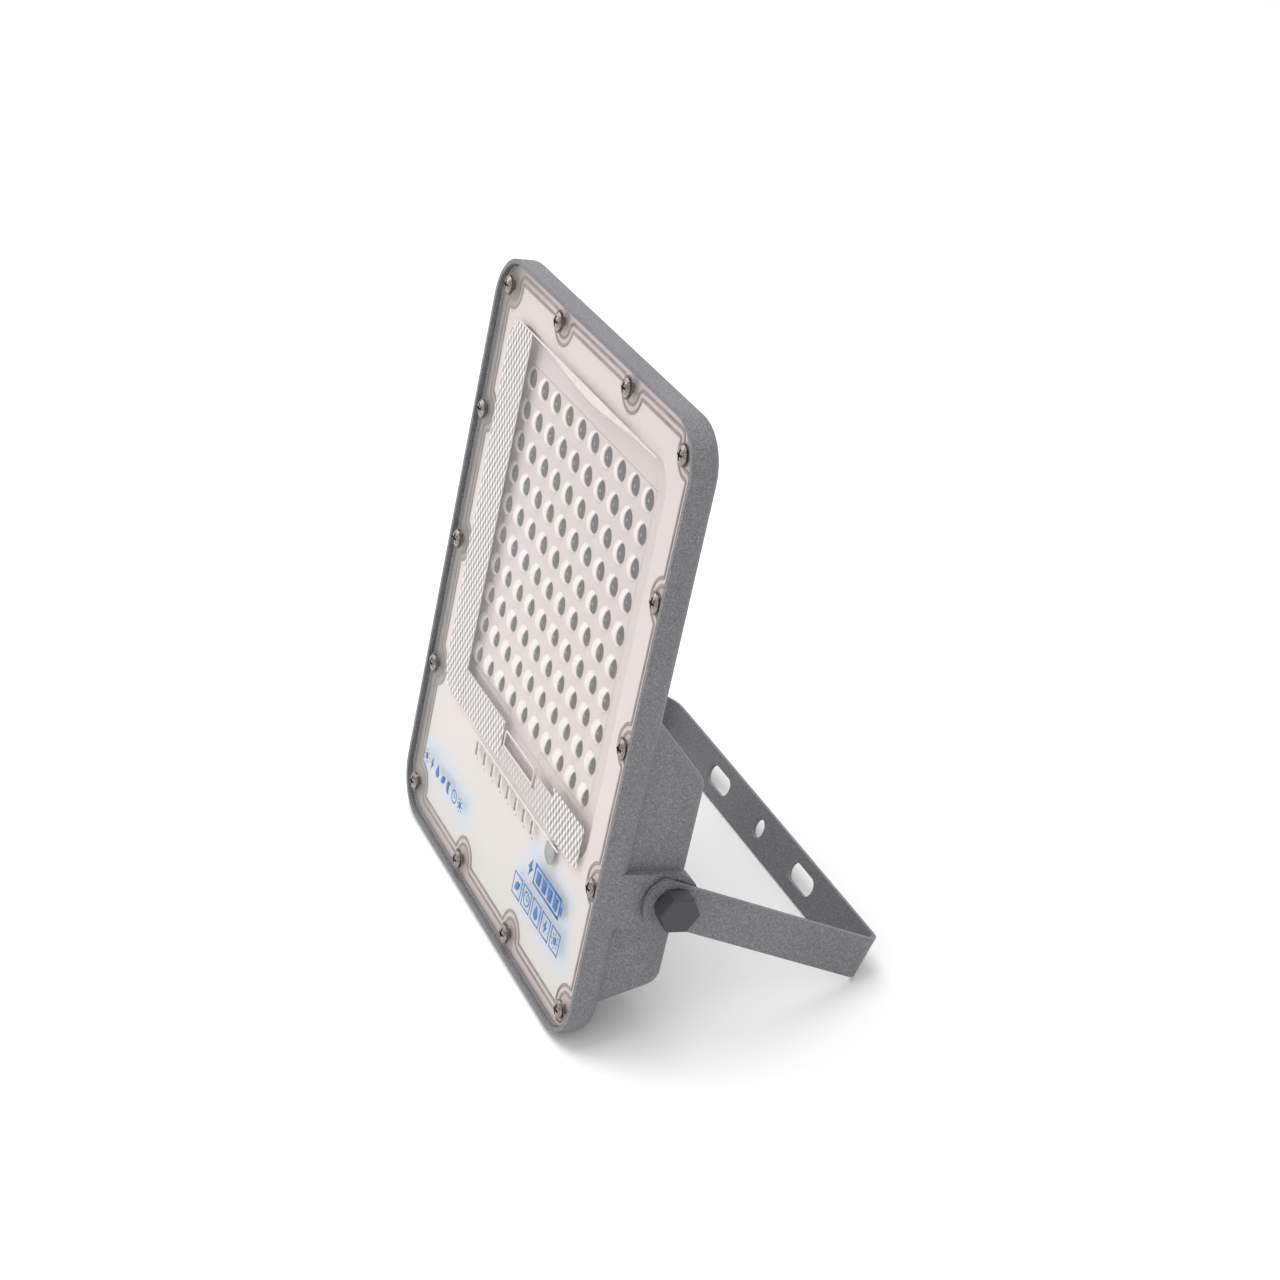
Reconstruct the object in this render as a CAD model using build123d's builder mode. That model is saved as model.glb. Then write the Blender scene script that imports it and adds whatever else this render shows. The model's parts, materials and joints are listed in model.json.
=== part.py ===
from build123d import *
import math
import os

# Portable LED flood light that stands like an easel on its own U bracket.
# Row frame: +X to the right of the lit face, +Y to the back, +Z up; the floor is Z = 0.
# The head leans back. It is drawn in head coordinates: x across, depth back from the front
# cover, height up the face from the middle of the cover screws. face() and side()
# turn those into planes, so every sketch below is placed by its plane.

# ---------------------------------------------------------------- driving dimensions (mm, deg)
FACE_W = 216.0  # outline of the lit face, across
FACE_H = 272.0  # outline of the lit face, up the face
FACE_R = 22.0  # corner radius of the outline
LIP_FRONT = -1.2  # depth of the front edge of the rim; negative stands proud of the cover
LIP_W = 2.0  # width of the rim's lip
SHELL_BACK = 12.0  # depth of the flat back of the upper half
SHELL_BACK_R = 5.5  # rounding of the back edge
FLOOR_FRONT = 9.5  # depth of the floor that carries the light board
COVER_T = 2.5  # front cover
COVER_GAP = 0.4  # gap between cover and lip

GASKET_INSET = 7.25  # gasket centreline, from the outline
GASKET_W = 3.3
GASKET_DEPTH = 2.0
BAY_R = 6.7  # gasket centreline round each cover screw
BAY_FILLET = 4.0
LEDGE_LAND = 1.3  # housing left between the gasket groove and the inside

SCREW_R = 2.0  # M4 cover screws
SCREW_HEAD_R = 4.0
SCREW_HEAD_H = 2.2
SCREW_LENGTH = 9.0
CORNER_SCREW = (96.0, 122.3)
SIDE_SCREW_X = 100.0
SIDE_SCREW_PITCH = 62.8
TOP_SCREW = (37.6, 126.5)
BOTTOM_SCREW = (31.4, -126.5)

LENS_COUNT = 10  # per side of the square array
LENS_PITCH = 14.5
LENS_CENTRE_H = 26.0
LENS_R = 5.3
LENS_RISE = 2.4
LENS_DEPTH = 5.2  # front face of the lens plate between the domes
LENS_T = 1.2
LENS_MARGIN = 6.0

WINDOW_W = 166.0  # embossed frame on the cover
WINDOW_TOP = 111.0
WINDOW_BOTTOM = -65.5
WINDOW_R = 14.0
WINDOW_RISE = 0.35
WINDOW_LINE = 1.4
INDICATORS = 8
INDICATOR_PITCH = 10.0
INDICATOR_H = -72.5
INDICATOR_SIZE = (1.6, 6.0)
EYE = (55.5, -72.0)  # sensor window
EYE_R = 5.5

BOX_HALF_W = 104.0  # battery box, lower half of the back
BOX_BACK = 39.0
BOX_WALL = 2.8
BOX_EDGE_R = 5.0
BOX_TOP = 17.0
BOX_SHOULDER = -13.5
BOX_LOW = -107.0
BOX_FOOT = -118.0
BOX_BEND_R = 8.0  # rounding along the two back edges
ROOM_DROP = 1.5  # how far the inside stays below the outer bends

PIVOT = (31.5, -64.5)  # depth, height of the tilt axis
EAR_R = 12.5
EAR_X = 108.0
EAR_FRONT = 4.0
BOLT_R = 4.0  # M8
BOLT_RUNNING = 0.05  # radial clearance of the bolt in the bracket arm
WASHER_T = 1.0
JOINT_GAP = 0.2  # left each side of the arm
ARM_T = 2.0
ARM_HALF_W = 9.6
ARM_END_R = 12.5
ARM_REACH = 103.0  # tilt axis to the inner face of the crossbar
ARM_BEND_R = 6.0
ARM_ANGLE = 17.25  # below the head's depth axis at rest
HOLE_R = 4.5  # middle hole of the crossbar
SLOT_SPACING = 90.0
SLOT_LENGTH = 22.0
CAP_AF = 15.4  # moulded hexagon cap across flats
CAP_H = 7.6

CELL_R = 9.2  # 18650 cells
CELL_L = 65.0
CELL_ROWS = 3
CELL_PITCH = 20.0
CELL_CENTRE_H = -46.0
CELL_DEPTH = 24.0
CELL_COLUMN_PITCH = 67.0
PACK_X = -20.0  # middle of the pack, across
TRAY_T = 2.0  # the tray plate covers the battery box and spreads the heat
TRAY_DEPTH = FLOOR_FRONT + TRAY_T  # front face of the posts that it lies on
TRAY_TOP = 8.0
TRAY_SCREW = (76.0, -3.0, -99.0)  # x, then the two heights
POST_ENDS = (25.0, BOX_BACK - 1.5)  # how far back the upper and the lower posts reach
POST_R = 4.0
CONTROL_POST_R = 3.0
SMALL_SCREW_R = 1.5  # M3
SMALL_HOLE_R = 1.7  # clearance hole for M3
SMALL_HEAD_H = 1.7
SMALL_LENGTH = 5.2
SMALL_TAP = 8.0  # depth of the tapped holes in the posts
BOARD_BOSS = (3.5, 2.5)  # radius, and how far it stands back from the flat back

EAR_INNER_X = 100.0
BOSS_R = 10.0
BOSS_LENGTH = 10.0
FIN_COUNT = 13
FIN_PITCH = 14.0
FIN_T = 2.4
FIN_RISE = 2.6
FIN_LENGTH = 92.0
FIN_CENTRE_H = 72.0
GLAND_SPOT = (-60.0, -80.0)
GLAND_THREAD_R = 6.0  # M12
VENT_SPOT = (20.0, -90.0)
VENT_R = 4.0
VENT_HEAD = (7.0, 2.5)  # radius, height
LEAD_BORE_R = 3.0  # grip of the gland on a 6 mm lead

CONTROL_CENTRE = (71.0, -56.0)  # controller board
CONTROL_SIZE = (40.0, 78.0)
CONTROL_DEPTH = 30.0  # its component side
PCB_T = 1.6
CONTROL_SCREW_INSET = 3.6

TONGUE_H = 0.8
INDICATOR_RISE = 0.7
TAB_SIZE = (36.0, 9.0)  # raised outline under the lens array
TAB_CENTRE_H = -50.0
REFLECTOR_T = 0.8
BOARD_SCREW_HEAD_R = 2.7
PAD_T = 0.7  # thermal pad
LED_BOARD_HALF = 69.0
CHIP_SIZE = (2.8, 3.5, 0.7)
TRAY_BOTTOM = -110.0
LEAD_R = 1.1
LEAD_HOLE_R = 2.6
LED_LEAD_HOLE = (77.0, -20.0)
INDICATOR_LEAD_HOLE = (77.0, -72.5)
STRIP_T = 1.2
STRIP_SIZE = (104.0, 11.0)
STRIP_CENTRE_X = 12.0
HOLDER_T = 5.0
HOLDER_DEPTH = 20.4
STRAP_T = 0.3
PROTECTION_X = 47.2
CHOKE_SPOT = (64.0, -48.0)
CAPACITOR_SPOTS = [(62.0, -84.0), (74.0, -84.0)]
TRANSISTOR_SPOTS = [(61.0, -66.0), (83.0, -60.0)]
CHIP_SPOT = (82.0, -46.0)
SOCKET_SPOTS = [(77.0, -30.0), (77.0, -72.5), (61.0, -30.0)]
SOCKET_SIZE = (7.6, 6.0)
SOCKET_H = 7.0
INDICATOR_LED = (1.6, 3.2, 0.9)
RECEIVER = (6.4, 7.0, 2.2)
RECEIVER_DOME_R = 2.4
EYE_T = 1.4
PROTECTION_SIZE = (16.0, 52.0)
PROTECTION_T = 1.0
CHIP_STACK = (6.0, 5.0, 1.4, 9.0)  # the board's four small chips: size, then pitch
CHOKE_SIZE = (8.0, 3.4, 7.0)  # outer radius, inner radius, height
CAPACITOR_SIZE = (4.9, 13.0)
TRANSISTOR_BODY = (10.2, 4.5, 9.0)
TRANSISTOR_TAB = (10.2, 1.1, 15.0)
CHIP_BODY = (10.0, 6.0, 1.8)
BATTERY_LEAD_R = 0.8
BATTERY_LEAD_DEPTH = 18.0

GLAND_HEX_R = 8.7
GLAND_HEX_T = 4.0
GLAND_NECK = 6.0
GLAND_NECK_R = 5.7
GLAND_BORE_R = 4.3
GLAND_THREAD_END = 4.0  # how far the thread passes the wall
LOCKNUT_T = 2.6
SEAL_STANDS = 1.5  # how far the seal stands proud of the neck
GLAND_NUT_HEX_T = 5.0
SEAL_LENGTH = 9.0
FRICTION_WASHER_R = 10.0
WASHER_TEETH = 24
TOOTH_R = 0.45
PLAIN_WASHER_R = 8.0
BOLT_AF = 13.0
BOLT_HEAD_H = 5.3
BOLT_LENGTH = 20.0

# ---------------------------------------------------------------- the standing pose
# The head stands on the rounded back edge of its bottom rim and on the crossbar's lower edge.
rim_foot = (SHELL_BACK - SHELL_BACK_R, SHELL_BACK_R - FACE_H / 2)  # centre of the rounding
arm = math.radians(ARM_ANGLE)
OUTER_REACH = ARM_REACH + ARM_T
bar_foot = (
    PIVOT[0] + OUTER_REACH * math.cos(arm) - ARM_HALF_W * math.sin(arm),
    PIVOT[1] - OUTER_REACH * math.sin(arm) - ARM_HALF_W * math.cos(arm),
)
run = bar_foot[0] - rim_foot[0]
drop = rim_foot[1] - bar_foot[1]
lean = math.atan2(run, drop) - math.acos(SHELL_BACK_R / math.hypot(run, drop))
arm_down = arm + lean
print("the head leans back", round(math.degrees(lean), 2), "degrees")


def turned(depth, height):
    """Row Y and Z of a point of the head, before the whole is set on the floor."""
    y = depth * math.cos(lean) + height * math.sin(lean)
    z = height * math.cos(lean) - depth * math.sin(lean)
    return y, z


pivot_y, pivot_z = turned(*PIVOT)
front_y = turned(LIP_FRONT, -FACE_H / 2)[0]
back_y = pivot_y + OUTER_REACH * math.cos(arm_down) + ARM_HALF_W * math.sin(arm_down)
ORIGIN_Y = -(front_y + back_y) / 2
ORIGIN_Z = SHELL_BACK_R - turned(*rim_foot)[1]

BACKWARD = Vector(0, math.cos(lean), -math.sin(lean))
UPWARD = Vector(0, math.sin(lean), math.cos(lean))
FORWARD = BACKWARD * -1
FACE = Plane(origin=(0, ORIGIN_Y, ORIGIN_Z), x_dir=(1, 0, 0), z_dir=FORWARD)
FORWARD_AXIS = Axis(FACE.origin, FORWARD)
ON_TOP = (Align.CENTER, Align.CENTER, Align.MIN)


def at(x, depth, height):
    """A point of the head in the row frame."""
    return FACE.from_local_coords(Vector(x, height, -depth))


def face(depth):
    """Plane across the head at a depth: local x across, y up the face, normal forward."""
    return Plane(origin=at(0, depth, 0), x_dir=(1, 0, 0), z_dir=FORWARD)


def side(x):
    """Plane along the head at an x: local x is depth, y is height, normal +X."""
    return Plane(origin=at(x, 0, 0), x_dir=BACKWARD, z_dir=(1, 0, 0))


def save(part, name):
    """Label one finished sub-part and write its STEP file."""
    part.label = name
    export_step(part, f"parts/{name}.step")


os.makedirs("parts", exist_ok=True)

# ---------------------------------------------------------------- places that repeat
side_screw_heights = [0.5 + SIDE_SCREW_PITCH * i for i in (-1, 0, 1)]
screw_spots = [(sx * CORNER_SCREW[0], sz * CORNER_SCREW[1]) for sx in (-1, 1) for sz in (-1, 1)]
screw_spots += [(sx * x, h) for sx in (-1, 1) for x, h in (TOP_SCREW, BOTTOM_SCREW)]
screw_spots += [(sx * SIDE_SCREW_X, h) for sx in (-1, 1) for h in side_screw_heights]
lens_half = (LENS_COUNT - 1) * LENS_PITCH / 2
lens_edge = lens_half + LENS_MARGIN
indicator_spots = [((i - (INDICATORS - 1) / 2) * INDICATOR_PITCH, INDICATOR_H) for i in range(INDICATORS)]
board_screw_spots = [
    (sx * 3 * LENS_PITCH, LENS_CENTRE_H + row * LENS_PITCH) for sx in (-1, 1) for row in (0, 4)
]
tray_screw_spots = [(sx * TRAY_SCREW[0], h) for sx in (-1, 1) for h in TRAY_SCREW[1:]]
control_screw_spots = [
    (CONTROL_CENTRE[0] + sx * (CONTROL_SIZE[0] / 2 - CONTROL_SCREW_INSET),
     CONTROL_CENTRE[1] + sh * (CONTROL_SIZE[1] / 2 - CONTROL_SCREW_INSET))
    for sx in (-1, 1) for sh in (-1, 1)
]

with BuildSketch() as gasket_region:  # area inside the gasket's centreline, with its screw bays
    RectangleRounded(FACE_W - 2 * GASKET_INSET, FACE_H - 2 * GASKET_INSET, FACE_R - GASKET_INSET)
    with Locations(*screw_spots):
        Circle(BAY_R, mode=Mode.SUBTRACT)
    offset(amount=-BAY_FILLET, mode=Mode.REPLACE)
    offset(amount=BAY_FILLET, mode=Mode.REPLACE)


def grown(amount):
    """The gasket region grown or shrunk, as a flat sketch."""
    return offset(gasket_region.sketch, amount=amount, mode=Mode.PRIVATE)


INSIDE = grown(-GASKET_W / 2 - LEDGE_LAND)  # the opening in the housing's ledge

# ---------------------------------------------------------------- housing
with BuildPart() as box_form:  # outside of the battery box, drawn from the side
    with BuildSketch(side(-BOX_HALF_W)):
        with BuildLine():
            Polyline(
                (FLOOR_FRONT, BOX_TOP),
                (BOX_BACK, BOX_SHOULDER),
                (BOX_BACK, BOX_LOW),
                (FLOOR_FRONT, BOX_FOOT),
                close=True,
            )
        make_face()
    extrude(amount=2 * BOX_HALF_W)
    long_edges = box_form.edges().filter_by(Axis.X)
    fillet(long_edges.sort_by(FORWARD_AXIS)[:2], radius=BOX_BEND_R)
    outer_edges = box_form.faces().filter_by(Axis.X).edges().sort_by(FORWARD_AXIS)[:-2]
    fillet(outer_edges, radius=BOX_EDGE_R)

with BuildPart() as housing:
    with BuildSketch(face(SHELL_BACK)):
        RectangleRounded(FACE_W, FACE_H, FACE_R)
    extrude(amount=SHELL_BACK - LIP_FRONT)
    fillet(housing.faces().sort_by(FORWARD_AXIS)[0].edges(), radius=SHELL_BACK_R)
    add(box_form.part)
    # Cooling fins on the flat back, between the rim and the battery box.
    with BuildSketch(face(SHELL_BACK - 1)):
        with Locations((0, FIN_CENTRE_H)):
            with GridLocations(FIN_PITCH, 0, FIN_COUNT, 1):
                SlotOverall(FIN_LENGTH, FIN_T, rotation=90)
    extrude(amount=-FIN_RISE - 1)
    # Ears that carry the tilt bolts, one each side, running back from the rim.
    for x, way in ((EAR_X, -1), (-EAR_X, 1)):
        with BuildSketch(side(x)):
            with BuildLine():
                Line((EAR_FRONT, PIVOT[1] + EAR_R), (PIVOT[0], PIVOT[1] + EAR_R))
                RadiusArc((PIVOT[0], PIVOT[1] + EAR_R), (PIVOT[0], PIVOT[1] - EAR_R), EAR_R)
                Line((PIVOT[0], PIVOT[1] - EAR_R), (EAR_FRONT, PIVOT[1] - EAR_R))
                Line((EAR_FRONT, PIVOT[1] - EAR_R), (EAR_FRONT, PIVOT[1] + EAR_R))
            make_face()
        extrude(amount=way * (EAR_X - EAR_INNER_X))
    # Inside of the battery box.
    with BuildSketch(side(-BOX_HALF_W + BOX_WALL)):
        with BuildLine():
            Polyline(
                (FLOOR_FRONT, TRAY_TOP),
                (SHELL_BACK + 2 * BOX_WALL, TRAY_TOP - 1),
                (BOX_BACK - BOX_WALL, BOX_SHOULDER - ROOM_DROP),
                (BOX_BACK - BOX_WALL, BOX_LOW + ROOM_DROP),
                (FLOOR_FRONT, BOX_FOOT + 2 * BOX_WALL),
                close=True,
            )
        make_face()
    extrude(amount=2 * (BOX_HALF_W - BOX_WALL), mode=Mode.SUBTRACT)
    # Bosses for the tilt bolts, inside the box wall.
    for x, way in ((EAR_INNER_X + 1, -1), (-EAR_INNER_X - 1, 1)):
        with BuildSketch(side(x)):
            with Locations(PIVOT):
                Circle(BOSS_R)
        extrude(amount=way * BOSS_LENGTH)
    # Room for the lamp's inside, open to the front, then the recess of the cover.
    with BuildSketch(face(FLOOR_FRONT)):
        add(INSIDE)
    extrude(amount=FLOOR_FRONT - LIP_FRONT, mode=Mode.SUBTRACT)
    with BuildSketch(face(COVER_T)):
        RectangleRounded(FACE_W - 2 * LIP_W, FACE_H - 2 * LIP_W, FACE_R - LIP_W)
    extrude(amount=COVER_T - LIP_FRONT, mode=Mode.SUBTRACT)
    with BuildSketch(face(COVER_T + GASKET_DEPTH)):
        add(grown(GASKET_W / 2))
        add(grown(-GASKET_W / 2), mode=Mode.SUBTRACT)
    extrude(amount=GASKET_DEPTH, mode=Mode.SUBTRACT)
    # Posts for the tray plate: the upper pair stands on the slope, the lower on the back wall.
    for post_h, post_end in zip(TRAY_SCREW[1:], POST_ENDS):
        with BuildSketch(face(TRAY_DEPTH)):
            with Locations((-TRAY_SCREW[0], post_h), (TRAY_SCREW[0], post_h)):
                Circle(POST_R)
        extrude(amount=TRAY_DEPTH - post_end)
    with BuildSketch(face(CONTROL_DEPTH + PCB_T)):
        with Locations(*control_screw_spots):
            Circle(CONTROL_POST_R)
    extrude(amount=CONTROL_DEPTH + PCB_T - BOX_BACK + 1)
    # Threaded holes: cover screws, light board screws, tray screws, controller screws, bolts.
    with BuildSketch(face(SCREW_LENGTH + 0.6)):
        with Locations(*screw_spots):
            Circle(SCREW_R)
    extrude(amount=SCREW_LENGTH, mode=Mode.SUBTRACT)
    with BuildSketch(face(SHELL_BACK + BOARD_BOSS[1])):
        with Locations(*board_screw_spots):
            Circle(BOARD_BOSS[0])
    extrude(amount=BOARD_BOSS[1] + 0.5)
    with BuildSketch(face(SHELL_BACK + 1)):
        with Locations(*board_screw_spots):
            Circle(SMALL_SCREW_R)
    extrude(amount=SHELL_BACK + 1 - FLOOR_FRONT, mode=Mode.SUBTRACT)
    with BuildSketch(face(TRAY_DEPTH + SMALL_TAP)):
        with Locations(*tray_screw_spots):
            Circle(SMALL_SCREW_R)
    extrude(amount=SMALL_TAP, mode=Mode.SUBTRACT)
    with BuildSketch(face(BOX_BACK - BOX_WALL)):
        with Locations(*control_screw_spots):
            Circle(SMALL_SCREW_R)
    extrude(amount=BOX_BACK - BOX_WALL - CONTROL_DEPTH - PCB_T, mode=Mode.SUBTRACT)
    for x, way in ((EAR_X, -1), (-EAR_X, 1)):
        with BuildSketch(side(x)):
            with Locations(PIVOT):
                Circle(BOLT_R)
        extrude(amount=way * (EAR_X - EAR_INNER_X - 1 + BOSS_LENGTH), mode=Mode.SUBTRACT)
    with BuildSketch(face(BOX_BACK + 1)):
        with Locations(GLAND_SPOT):
            Circle(GLAND_THREAD_R)
        with Locations(VENT_SPOT):
            Circle(VENT_R)
    extrude(amount=BOX_WALL + 2, mode=Mode.SUBTRACT)
save(housing.part, "housing")

# ---------------------------------------------------------------- front of the head
with BuildPart() as cover_gasket:
    with BuildSketch(face(COVER_T + GASKET_DEPTH)):
        add(grown(GASKET_W / 2 - 0.05))
        add(grown(-GASKET_W / 2 + 0.05), mode=Mode.SUBTRACT)
    extrude(amount=GASKET_DEPTH - TONGUE_H)
save(cover_gasket.part, "cover_gasket")

cover_inset = LIP_W + COVER_GAP
with BuildPart() as front_cover:
    with BuildSketch(face(COVER_T)):
        RectangleRounded(FACE_W - 2 * cover_inset, FACE_H - 2 * cover_inset, FACE_R - cover_inset)
    extrude(amount=COVER_T)
    chamfer(front_cover.faces().sort_by(FORWARD_AXIS)[-1].edges(), length=0.5)
    with BuildSketch(face(COVER_T + TONGUE_H)):  # tongue that presses the gasket
        add(grown(GASKET_W / 2 - 0.6))
        add(grown(-GASKET_W / 2 + 0.6), mode=Mode.SUBTRACT)
    extrude(amount=TONGUE_H)
    with BuildSketch(face(0)):  # raised line round the window
        with Locations((0, (WINDOW_TOP + WINDOW_BOTTOM) / 2)):
            RectangleRounded(WINDOW_W, WINDOW_TOP - WINDOW_BOTTOM, WINDOW_R)
            RectangleRounded(
                WINDOW_W - 2 * WINDOW_LINE,
                WINDOW_TOP - WINDOW_BOTTOM - 2 * WINDOW_LINE,
                WINDOW_R - WINDOW_LINE,
                mode=Mode.SUBTRACT,
            )
    extrude(amount=WINDOW_RISE)
    with BuildSketch(face(0)):  # moulded bars over the charge indicators
        with Locations(*indicator_spots):
            SlotOverall(INDICATOR_SIZE[1], INDICATOR_SIZE[0], rotation=90)
    extrude(amount=INDICATOR_RISE)
    with BuildSketch(face(COVER_T)):
        with Locations(*screw_spots):
            Circle(SCREW_R + 0.25)
    extrude(amount=COVER_T, mode=Mode.SUBTRACT)
save(front_cover.part, "front_cover")


def cap_arc(radius, rise, base):
    """Arc of a ball cap from its rim to its top, in radius and height, with its centre on the axis."""
    ball = (radius**2 + rise**2) / (2 * rise)
    half = math.asin(radius / ball) / 2
    middle = (ball * math.sin(half), base + rise - ball + ball * math.cos(half))
    return ThreePointArc((radius, base), middle, (0, base + rise))


def pan_screw(shank_r, head_r, head_h, length):
    """Pan-head cross-recess screw standing on Z, its seat at the origin."""
    with BuildPart() as screw:
        with BuildSketch(Plane.XZ):
            with BuildLine():
                Polyline((0, head_h), (0, -length), (shank_r * 0.7, -length), (shank_r, 0.6 - length))
                Polyline((shank_r, 0.6 - length), (shank_r, 0), (head_r, 0), (head_r, 0.4 * head_h))
                cap_arc(head_r, 0.6 * head_h, 0.4 * head_h)
            make_face()
        revolve(axis=Axis.Z)
        with BuildSketch(Plane.XY.offset(head_h)):
            Rectangle(1.15 * head_r, 0.26 * head_r)
            Rectangle(0.26 * head_r, 1.15 * head_r)
        extrude(amount=-0.6 * head_h, mode=Mode.SUBTRACT)
    return screw.part


cover_screw = pan_screw(SCREW_R, SCREW_HEAD_R, SCREW_HEAD_H, SCREW_LENGTH)
with BuildPart(face(0)) as cover_screws:
    with Locations(*screw_spots):
        add(cover_screw)
save(cover_screws.part, "cover_screws")

with BuildPart() as dome:  # one moulded lens, standing on Z
    with BuildSketch(Plane.XZ):
        with BuildLine():
            Polyline((0, LENS_RISE), (0, -0.2), (LENS_R, -0.2), (LENS_R, 0))
            cap_arc(LENS_R, LENS_RISE, 0)
        make_face()
    revolve(axis=Axis.Z)

with BuildPart(face(LENS_DEPTH)) as lens_plate:
    with BuildSketch(face(LENS_DEPTH + LENS_T)):
        with Locations((0, LENS_CENTRE_H)):
            RectangleRounded(2 * lens_edge, 2 * lens_edge, 3)
        with Locations((0, TAB_CENTRE_H)):
            Rectangle(TAB_SIZE[0], TAB_SIZE[1] + 6)
        with Locations(*board_screw_spots):
            Circle(BOARD_SCREW_HEAD_R + 0.5, mode=Mode.SUBTRACT)
    extrude(amount=LENS_T)
    with Locations((0, LENS_CENTRE_H)):
        with GridLocations(LENS_PITCH, LENS_PITCH, LENS_COUNT, LENS_COUNT):
            add(dome.part)
    with BuildSketch(face(LENS_DEPTH)):
        with Locations((0, TAB_CENTRE_H - 3)):
            Rectangle(TAB_SIZE[0], TAB_SIZE[1])
            Rectangle(TAB_SIZE[0] - 1.6, TAB_SIZE[1] - 1.6, mode=Mode.SUBTRACT)
    extrude(amount=0.8)
save(lens_plate.part, "lens_plate")

with BuildPart() as reflector_frame:  # white frame round the lens plate, on a skirt
    with BuildSketch(face(FLOOR_FRONT)):
        add(grown(-GASKET_W / 2 - LEDGE_LAND - 0.5))
        add(grown(-GASKET_W / 2 - LEDGE_LAND - 1.7), mode=Mode.SUBTRACT)
    extrude(amount=FLOOR_FRONT - LENS_DEPTH)
    with BuildSketch(face(LENS_DEPTH + REFLECTOR_T)):
        add(grown(-GASKET_W / 2 - LEDGE_LAND - 0.5))
        with Locations((0, LENS_CENTRE_H)):
            Rectangle(2 * lens_edge + 0.6, 2 * lens_edge + 0.6, mode=Mode.SUBTRACT)
        with Locations((0, TAB_CENTRE_H)):
            Rectangle(TAB_SIZE[0] + 0.6, TAB_SIZE[1] + 6.6, mode=Mode.SUBTRACT)
        with Locations(*indicator_spots):
            SlotOverall(INDICATOR_SIZE[1] + 1, INDICATOR_SIZE[0] + 1, rotation=90, mode=Mode.SUBTRACT)
        with Locations(EYE):
            Circle(EYE_R + 0.5, mode=Mode.SUBTRACT)
    extrude(amount=REFLECTOR_T)
save(reflector_frame.part, "reflector_frame")

# ---------------------------------------------------------------- light board
board_front = FLOOR_FRONT - PAD_T - PCB_T
with BuildPart() as led_board:
    with BuildSketch(face(board_front + PCB_T)):
        with Locations((0, LENS_CENTRE_H)):
            RectangleRounded(2 * LED_BOARD_HALF, 2 * LED_BOARD_HALF, 4)
        with Locations(*board_screw_spots):
            Circle(SMALL_HOLE_R, mode=Mode.SUBTRACT)
    extrude(amount=PCB_T)
save(led_board.part, "led_board")

with BuildPart(face(board_front)) as led_chips:
    with Locations((0, LENS_CENTRE_H)):
        with GridLocations(LENS_PITCH, LENS_PITCH, LENS_COUNT, LENS_COUNT):
            Box(*CHIP_SIZE, align=ON_TOP)
save(led_chips.part, "led_chips")

with BuildPart() as thermal_pad:
    with BuildSketch(face(FLOOR_FRONT)):
        with Locations((0, LENS_CENTRE_H)):
            Rectangle(2 * LED_BOARD_HALF - 4, 2 * LED_BOARD_HALF - 4)
        with Locations(*board_screw_spots):
            Circle(SMALL_SCREW_R + 0.6, mode=Mode.SUBTRACT)
    extrude(amount=PAD_T)
save(thermal_pad.part, "thermal_pad")

small_screw = pan_screw(SMALL_SCREW_R, BOARD_SCREW_HEAD_R, SMALL_HEAD_H, SMALL_LENGTH)
with BuildPart(face(board_front)) as led_board_screws:
    with Locations(*board_screw_spots):
        add(small_screw)
save(led_board_screws.part, "led_board_screws")

# ---------------------------------------------------------------- tray plate and what sits on it
with BuildPart() as tray_plate:
    with BuildSketch(face(TRAY_DEPTH)):
        add(grown(-GASKET_W / 2 - LEDGE_LAND - 1.0))
        with Locations((0, (TRAY_TOP + TRAY_BOTTOM) / 2 - 0.25)):
            Rectangle(FACE_W, TRAY_TOP - TRAY_BOTTOM - 0.5, mode=Mode.INTERSECT)
        with Locations(*tray_screw_spots):
            Circle(SMALL_HOLE_R, mode=Mode.SUBTRACT)
        with Locations(LED_LEAD_HOLE, INDICATOR_LEAD_HOLE):
            Circle(LEAD_HOLE_R, mode=Mode.SUBTRACT)
    extrude(amount=TRAY_T)
save(tray_plate.part, "tray_plate")

with BuildPart(face(FLOOR_FRONT)) as tray_screws:
    with Locations(*tray_screw_spots):
        add(small_screw)
save(tray_screws.part, "tray_screws")

with BuildPart() as lead_grommets:
    with BuildSketch(face(TRAY_DEPTH + 0.8)):
        with Locations(LED_LEAD_HOLE, INDICATOR_LEAD_HOLE):
            Circle(LEAD_HOLE_R + 1.2)
            Circle(LEAD_R, mode=Mode.SUBTRACT)
    extrude(amount=0.8)
    with BuildSketch(face(TRAY_DEPTH)):
        with Locations(LED_LEAD_HOLE, INDICATOR_LEAD_HOLE):
            Circle(LEAD_HOLE_R)
            Circle(LEAD_R, mode=Mode.SUBTRACT)
    extrude(amount=TRAY_T)
save(lead_grommets.part, "lead_grommets")

strip_depth = FLOOR_FRONT - STRIP_T
with BuildPart() as indicator_board:
    with BuildSketch(face(FLOOR_FRONT)):
        with Locations((STRIP_CENTRE_X, INDICATOR_H)):
            RectangleRounded(STRIP_SIZE[0], STRIP_SIZE[1], 1.5)
    extrude(amount=STRIP_T)
save(indicator_board.part, "indicator_board")

with BuildPart(face(strip_depth)) as indicator_leds:
    with Locations(*indicator_spots):
        Box(*INDICATOR_LED, align=ON_TOP)
save(indicator_leds.part, "indicator_leds")

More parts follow.
